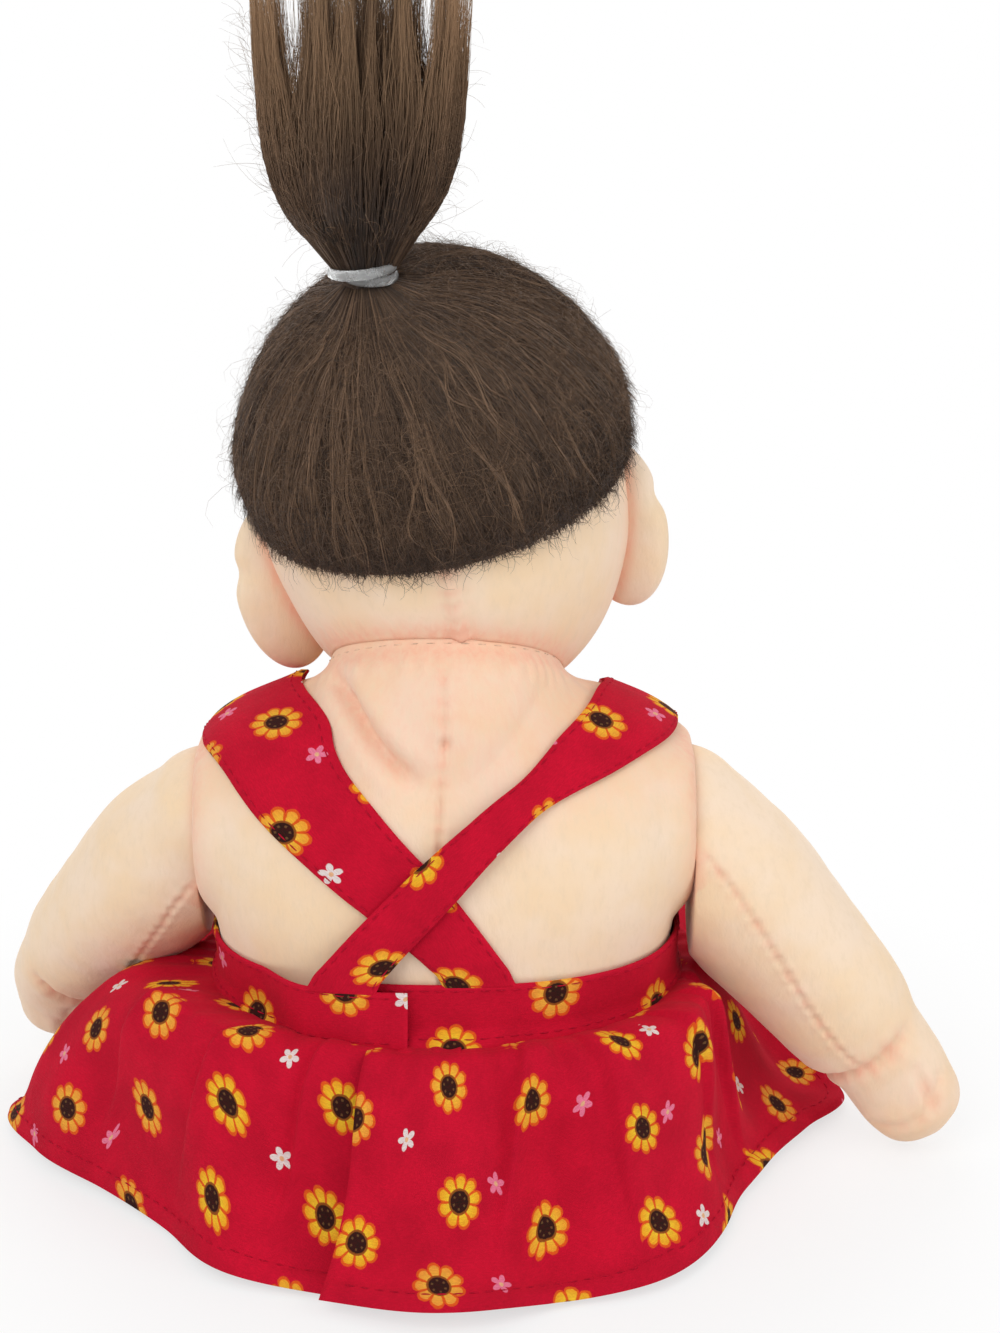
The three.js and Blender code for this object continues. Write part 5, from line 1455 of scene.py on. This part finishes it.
def cloth_piece(name, inner, normal, flat, thickness):
    """A closed sheet of cloth with rounded edges.

    inner and normal are (along, across, 3), and flat is (along, across, 2).
    """
    rows, columns = inner.shape[:2]
    from_edge = np.minimum.reduce([flat[..., 0] - flat[0, :, 0], flat[-1, :, 0] - flat[..., 0],
                                   flat[..., 1] - flat[:, :1, 1], flat[:, -1:, 1] - flat[..., 1]])
    edge = np.clip(np.abs(from_edge) / (thickness * 0.8), 0, 1)
    full = thickness * (0.5 + 0.5 * np.sqrt(1 - (1 - edge) ** 2))
    least = thickness * 0.5 * (1 - np.sqrt(1 - (1 - edge) ** 2))
    outer_points = inner + normal * full[..., None]
    inner_points = inner + normal * least[..., None]
    i, j = np.meshgrid(np.arange(rows - 1), np.arange(columns - 1), indexing="ij")
    a = i * columns + j
    quads = np.stack([a, a + columns, a + columns + 1, a + 1], -1).reshape(-1, 4)
    size = rows * columns
    border = np.concatenate([np.arange(columns), np.arange(2, rows) * columns - 1,
                             size - 1 - np.arange(columns), np.arange(rows - 2, 0, -1) * columns])
    following = np.roll(border, -1)
    rim = np.stack([border, following, following + size, border + size], -1)
    points = np.concatenate([inner_points.reshape(-1, 3), outer_points.reshape(-1, 3)])
    marks = np.concatenate([flat.reshape(-1, 2)] * 2)
    marks = np.column_stack([marks, np.zeros(len(marks))])
    faces = [quads[:, ::-1], quads + size, rim]
    mesh = mesh_from(name, points, [np.concatenate(faces)], {"cloth": marks})
    obj = add_object(name, mesh)
    flip_if_inside_out(mesh)
    return obj, outer_points


def flip_if_inside_out(mesh):
    points = coordinates(mesh)
    mesh.calc_loop_triangles()
    corners = np.empty(len(mesh.loop_triangles) * 3, np.int32)
    mesh.loop_triangles.foreach_get("vertices", corners)
    a, b, c = (points[corners.reshape(-1, 3)[:, k]] for k in range(3))
    if np.sum(a * np.cross(b, c)) < 0:
        mesh.flip_normals()


def flat_measure(points, start=(0.0, 0.0)):
    """The cloth's own flat coordinates: lengths along the middle row and across each column."""
    middle = points[:, points.shape[1] // 2]
    along = lengths_along(middle)
    steps = np.linalg.norm(np.diff(points, axis=1), axis=2)
    across = np.concatenate([np.zeros((len(points), 1)), np.cumsum(steps, axis=1)], axis=1)
    across = across - across.mean(axis=1, keepdims=True)
    return np.stack([along[:, None] + start[0] + 0 * across, across + start[1]], -1)


def row_stitches(name, line, normals, body, length=1.7, gap=0.9, radius=0.12):
    paths, radii = stitch_threads(line, normals, length, gap, radius, 0.07)
    obj = threads(name, paths, radii, sides=4)
    return dress_up(obj, body, RED_THREAD, "floral_cotton")


def lap_lift(angle):
    """How far the band's lapped end stands off the torso, over the closure under it."""
    ramp_start = BAND_END + BAND_LAP + 2
    return (layer(1, 2) - layer(0, 0)) * (1 - smooth(angle, ramp_start, ramp_start + 16))


def make_waistband():
    finish = 360 + BAND_END + BAND_LAP
    angle = np.linspace(BAND_END, finish, 420)[:, None]
    v = np.linspace(0, 1, 22)[None, :]
    height = mix(WAIST_HEIGHT, BAND_TOP, v) + 0 * angle
    # The lower edge flares out and down over the gathered top of the skirt
    flare = 1 - smooth(v, 0, 0.26)
    over = (COTTON + SEAM_GAP * 2) * smooth(angle, 340, 354)
    lift = np.maximum(lap_lift(angle) + 0 * v, flare * (COTTON + 0.2 + over))
    inner, normal = torso_point(angle + 0 * v, height, layer(0, 0) + lift)
    inner[..., 2] = height - 0.9 * flare
    normal[..., 2] *= 0.3
    wobble = 0.22 * np.sin(angle * 0.31 + 2 * np.sin(angle * 0.05)) * np.sin(v * math.pi)
    inner = inner + normal * wobble[..., None]
    flat = flat_measure(inner, CUT_FROM["waistband"])
    obj, outer = cloth_piece("waistband_cloth", inner, unit(normal), flat, COTTON - 0.1)
    dress_up(obj, "torso", COTTON_PRINT, "floral_cotton", "waistband")
    row_stitches("waistband_top_stitches", outer[3:-3, -3], unit(normal)[3:-3, -3], "torso")
    row_stitches("waistband_foot_stitches", outer[3:-3, 3], unit(normal)[3:-3, 3], "torso")


def make_tape(name, node, tapes, tape):
    u = np.linspace(0, 1, 40)[:, None]
    v = np.linspace(0, 1, 30)[None, :]
    angle = mix(BAND_END + 3, BAND_END + BAND_LAP - 3, u) + 0 * v
    height = mix(WAIST_HEIGHT + TAPE_INSET, BAND_TOP - TAPE_INSET, v) + 0 * u
    inner, normal = torso_point(angle, height, np.full(angle.shape, layer(1, tapes)))
    flat = flat_measure(inner)
    obj, _ = cloth_piece(name, inner, normal, flat, TAPE - 0.05)
    dress_up(obj, "torso", tape, "closure_tape", node)


def make_bib():
    u = np.linspace(0, 1, 150)[:, None]
    v = np.linspace(0, 1, 50)[None, :]
    half = mix(BIB_FOOT_ANGLE, BIB_TOP_ANGLE, v)
    angle = mix(180 - half, 180 + half, u)
    height = mix(BAND_TOP + SEAM_GAP, BIB_TOP, v) + 0 * u
    inner, normal = torso_point(angle, height, np.full(angle.shape, layer(0, 0)))
    flat = flat_measure(inner, CUT_FROM["bodice"])
    obj, outer = cloth_piece("bodice_cloth", inner, normal, flat, COTTON - 0.1)
    dress_up(obj, "torso", COTTON_PRINT, "floral_cotton", "bodice_front")
    row_stitches("bodice_top_stitches", outer[3:-3, -6], normal[3:-3, -6], "torso")


STRAP_FOOT = BAND_TOP + SEAM_GAP
STRAP_END = BIB_TOP + SEAM_GAP
# Rows of each strap's neck edge and arm edge: share along it, angle round the torso, height
STRAPS = {
    "left": (
        [[0, -17.5, STRAP_FOOT], [0.24, 5, 66.15], [0.42, 36, 84.8], [0.58, 90, 88.0], [0.74, 128, 85.05],
         [1, 158, STRAP_END]],
        [[0, -0.5, STRAP_FOOT], [0.24, 19, 57.9], [0.42, 52, 75.95], [0.58, 90, 77.4], [0.74, 118, 75.3],
         [1, 139, STRAP_END]],
    ),
    "right": (
        [[0, 31, STRAP_FOOT], [0.24, 4.5, 65.6], [0.36, -15, 76.7], [0.43, -32, 83.25], [0.5, -60, 86.4],
         [0.6, -90, 86.85], [0.74, -130, 83.25], [1, -157, STRAP_END]],
        [[0, 15.5, STRAP_FOOT], [0.24, -2, 58.7], [0.36, -19, 72.0], [0.43, -33, 76.8], [0.5, -55, 79.65],
         [0.6, -90, 79.65], [0.74, -122, 76.5], [1, -142, STRAP_END]],
    ),
}


def make_strap(name, over):
    neck_edge, arm_edge = STRAPS[name]
    u = np.linspace(0, 1, 260)
    v = np.linspace(0, 1, 26)[None, :]
    neck_angle, neck_height = between(neck_edge, u)
    arm_angle, arm_height = between(arm_edge, u)
    angle = mix(neck_angle[:, None], arm_angle[:, None], v)
    height = mix(neck_height[:, None], arm_height[:, None], v)
    crossing = layer(1, 0) - layer(0, 0)
    lift = mix(lap_lift(angle), crossing, smooth(u, 0, 0.12)[:, None])
    lift = lift * (1 - smooth(u, 0.33, 0.4))[:, None] * over
    wave = 0.15 * np.abs(np.sin(u * 40) * np.sin(u * 7))
    inner, normal = torso_point(angle, height, layer(0, 0) + lift + wave[:, None])
    # The foot runs down behind the top edge of the band
    inner[..., 2] = inner[..., 2] - 1.2 * (1 - smooth(u, 0, 0.03))[:, None]
    flat = flat_measure(inner, CUT_FROM[name])
    obj, outer = cloth_piece(f"{name}_strap_cloth", inner, normal, flat, COTTON - 0.1)
    dress_up(obj, "torso", COTTON_PRINT, "floral_cotton", f"{name}_strap")
    for edge, row in (("neck", 2), ("arm", -3)):
        row_stitches(f"{name}_strap_{edge}_stitches", outer[2:-2, row], normal[2:-2, row], "torso")


def lap_height(x, y):
    """Height of the thighs under a place on the lap, with room for the cloth over them."""
    best = np.zeros_like(x)
    for side in (1, -1):
        hip = HIP * np.array([side, 1, 1])
        dx, dy = x - hip[0], y - hip[1]
        sideways = dx * cos(side * LEG_SPLAY) + dy * sin(side * LEG_SPLAY)
        radius = max(THIGH_THICKNESS / 2, LEG_BALL)
        rise = np.sqrt(np.maximum(radius**2 - sideways**2, 0))
        height = np.where((dy < LEG_BALL) & (rise > 0), hip[2] + rise + SKIRT_LAP_CLEARANCE, 0)
        best = np.maximum(best, height)
    return best


def skirt_place(angle, v, side):
    """A place on the skirt: angle from the middle of the back, v from waist to hem, side 0 in and 1 out."""
    top = WAIST_HEIGHT - SEAM_GAP
    sideways = np.abs(sin(angle))
    dome_left = smooth(angle, 20, 50) * (1 - smooth(angle, 84, 102))
    dome_right = smooth(360 - angle, 20, 50) * (1 - smooth(360 - angle, 54, 72))
    dome = dome_left + 0.6 * dome_right
    out, down = mix(np.array(between(SKIRT_PROFILE, v)), np.array(between(DOME_PROFILE, v)), dome)
    drop = mix(SKIRT_DROP_FRONT, SKIRT_DROP, smooth(cos(angle), -0.75, -0.15))
    fold = cos(SKIRT_FOLDS * angle + 70 * sin(2 * angle)) * FOLD_DEPTH * smooth(v, 0.05, 0.6)
    gathers = 0.4 * np.sin(angle * 0.8 + 2.2 * np.sin(angle * 0.13)) * smooth(v, 0, 0.06)
    gathers = gathers * (1 - smooth(v, 0.1, 0.4))
    for at_waist, at_hem, depth, width in PLEATS:
        aside = (angle - mix(at_waist, at_hem, v)) / width
        crease = smooth(-aside, -0.25, 0.1) * (1 - smooth(-aside, 0, 2.6))
        gathers = gathers + depth * crease * smooth(v, 0, 0.1) * (1 - smooth(v, 0.4, 0.95))
    crumple = np.sin(angle * 0.21 + 5 * v) * np.sin(angle * 0.083 - 7 * v + 1) * smooth(v, 0.15, 0.5)
    gathers = gathers + 0.9 * crumple * (1 - 0.6 * smooth(v, 0.8, 1))
    beside = smooth(sideways, 0.15, 0.7) * (1 - smooth(sideways, 0.88, 0.985)) * smooth(cos(angle), -0.5, 0)
    crest = beside * smooth(v, 0, 0.25) * (1 - smooth(v, 0.25, 0.75))
    reach = SKIRT_REACH * between(SKIRT_HEM, angle)[0] * out + CREST_REACH * crest + fold + gathers
    over = (COTTON + SEAM_GAP * 2) * smooth(angle, 340, 354)
    waist, _ = torso_point(angle, np.full(angle.shape, top), layer(0, 0) + over)
    plan = np.stack([sin(angle), cos(angle), 0 * angle], -1)
    place = waist + plan * (reach + side * COTTON * (1 - v * 0.6))[..., None]
    hang = top - drop * down + CREST_RISE * crest + fold * 0.4 * v + over * v + gathers * 0.6
    lap = lap_height(place[..., 0], place[..., 1]) * smooth(v, 0.1, 0.3)
    floor = np.maximum(SKIRT_FLOOR + over * v, lap)
    place[..., 2] = np.maximum(hang, floor) + side * COTTON * v
    return place


def make_skirt():
    angle = np.linspace(SKIRT_UNDER_END, 360 + SKIRT_OVER_END, 620)[:, None]
    v = np.linspace(0, 1, 54)[None, :]
    angle, v = np.broadcast_arrays(angle, v)
    inner = skirt_place(angle, v, 0.0)
    outer = skirt_place(angle, v, 1.0)
    normal = unit(outer - inner)
    along = lengths_along(inner[:, -1])
    steps = np.linalg.norm(np.diff(inner, axis=1), axis=2)
    down = np.concatenate([np.zeros((len(inner), 1)), np.cumsum(steps, axis=1)], axis=1)
    flat = np.stack([along[:, None] + 0 * down, down], -1)
    from_hem = down[:, -1:] - down
    doubled = (COTTON - 0.1) * (1 + 0.45 * (1 - smooth(from_hem, 2.9, 3.9)))
    obj, surface = cloth_piece("skirt_cloth", inner, normal, flat, doubled)
    dress_up(obj, "torso", COTTON_PRINT, "floral_cotton", "skirt")
    hem = np.argmin(np.abs(down - (down[:, -1:] - 3.4)), axis=1)
    rows = np.arange(len(inner))
    row_stitches("skirt_hem_stitches", surface[rows, hem][4:-4], normal[rows, hem][4:-4], "torso")


# Stage, light and camera
def make_stage():
    floor = add_object("studio_floor", mesh_from("studio_floor", np.array(
        [[-4000, -4000, 0], [4000, -4000, 0], [4000, 4000, 0], [-4000, 4000, 0]], float), [[[0, 1, 2, 3]]]))
    material = bpy.data.materials.new("studio_floor")
    material.use_nodes = True
    tree = material.node_tree
    tree.nodes.clear()
    output = tree.nodes.new("ShaderNodeOutputMaterial")
    matte = tree.nodes.new("ShaderNodeBsdfDiffuse")
    matte.inputs["Color"].default_value = (0.86, 0.86, 0.86, 1)
    glow = tree.nodes.new("ShaderNodeEmission")
    glow.inputs["Color"].default_value = (1, 1, 1, 1)
    seen = tree.nodes.new("ShaderNodeMixShader")
    share = seen_by_eye(tree)
    place = tree.nodes.new("ShaderNodeNewGeometry")
    apart = tree.nodes.new("ShaderNodeVectorMath")
    apart.operation = "LENGTH"
    tree.links.new(place.outputs["Position"], apart.inputs[0])
    away = tree.nodes.new("ShaderNodeMapRange")
    away.interpolation_type = "SMOOTHSTEP"
    tree.links.new(apart.outputs["Value"], away.inputs["Value"])
    for key, number in (("From Min", 0.06), ("From Max", 0.15), ("To Min", 0.66), ("To Max", 1.0)):
        away.inputs[key].default_value = number
    scaled = tree.nodes.new("ShaderNodeMath")
    scaled.operation = "MULTIPLY"
    tree.links.new(away.outputs[0], scaled.inputs[1])
    tree.links.new(share, scaled.inputs[0])
    tree.links.new(scaled.outputs[0], seen.inputs[0])
    tree.links.new(matte.outputs[0], seen.inputs[1])
    tree.links.new(glow.outputs[0], seen.inputs[2])
    tree.links.new(seen.outputs[0], output.inputs[0])
    floor.data.materials.append(material)


def seen_by_eye(tree):
    """1 for rays from the camera, and for those that mirror or pass through the object."""
    path = tree.nodes.new("ShaderNodeLightPath")
    total = path.outputs["Is Camera Ray"]
    for key in ("Is Glossy Ray", "Is Transmission Ray"):
        larger = tree.nodes.new("ShaderNodeMath")
        larger.operation = "MAXIMUM"
        tree.links.new(total, larger.inputs[0])
        tree.links.new(path.outputs[key], larger.inputs[1])
        total = larger.outputs[0]
    return total


def make_world():
    world = bpy.data.worlds.new("studio")
    bpy.context.scene.world = world
    world.use_nodes = True
    tree = world.node_tree
    background = tree.nodes["Background"]
    background.inputs["Color"].default_value = (1, 1, 1, 1)
    ranged = tree.nodes.new("ShaderNodeMapRange")
    tree.links.new(seen_by_eye(tree), ranged.inputs["Value"])
    ranged.inputs["To Min"].default_value = 0.6
    ranged.inputs["To Max"].default_value = 1.0
    tree.links.new(ranged.outputs[0], background.inputs["Strength"])


def make_lamp(name, place, target, size, power):
    lamp = bpy.data.lights.new(name, "AREA")
    lamp.shape = "DISK"
    lamp.size = size
    lamp.energy = power
    obj = bpy.data.objects.new(name, lamp)
    bpy.context.scene.collection.objects.link(obj)
    obj.location = place
    obj.rotation_euler = (Vector(target) - Vector(place)).to_track_quat("-Z", "Y").to_euler()


def make_camera():
    camera = bpy.data.cameras.new("camera")
    camera.lens = CAMERA_LENS
    camera.sensor_width = 36
    obj = bpy.data.objects.new("camera", camera)
    bpy.context.scene.collection.objects.link(obj)
    target = Vector(CAMERA_TARGET) * MM
    away = Vector((0, cos(CAMERA_ELEVATION), sin(CAMERA_ELEVATION))) * CAMERA_DISTANCE * MM
    obj.location = target + away
    obj.rotation_euler = (-away).to_track_quat("-Z", "Y").to_euler()
    bpy.context.scene.camera = obj


bpy.context.scene.view_settings.view_transform = "Standard"
make_camera()
make_stage()
make_world()
for lamp_row in LAMPS:
    make_lamp(*lamp_row)

EYE = eye_material()
make_torso()
make_head()
make_neck_stitches()
for way in (1, -1):
    make_ear(way)
    make_eye(way)
    make_arm(way)
    make_leg(way)
make_nose()
make_mouth()
make_hair_base()
make_hair_cap()
make_hair_locks()
make_loose_hair()
make_ponytail()
make_fly_aways()
make_elastic()
make_waistband()
make_tape("loop_tape", "loop_strip", 0, tape_material())
make_tape("hook_tape", "hook_strip", 1, tape_material())
make_bib()
make_strap("left", 0)
make_strap("right", 1)
make_skirt()
for washer in ("left_eye_washer", "right_eye_washer"):
    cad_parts[washer].data.materials.clear()
    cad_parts[washer].data.materials.append(washer_material())
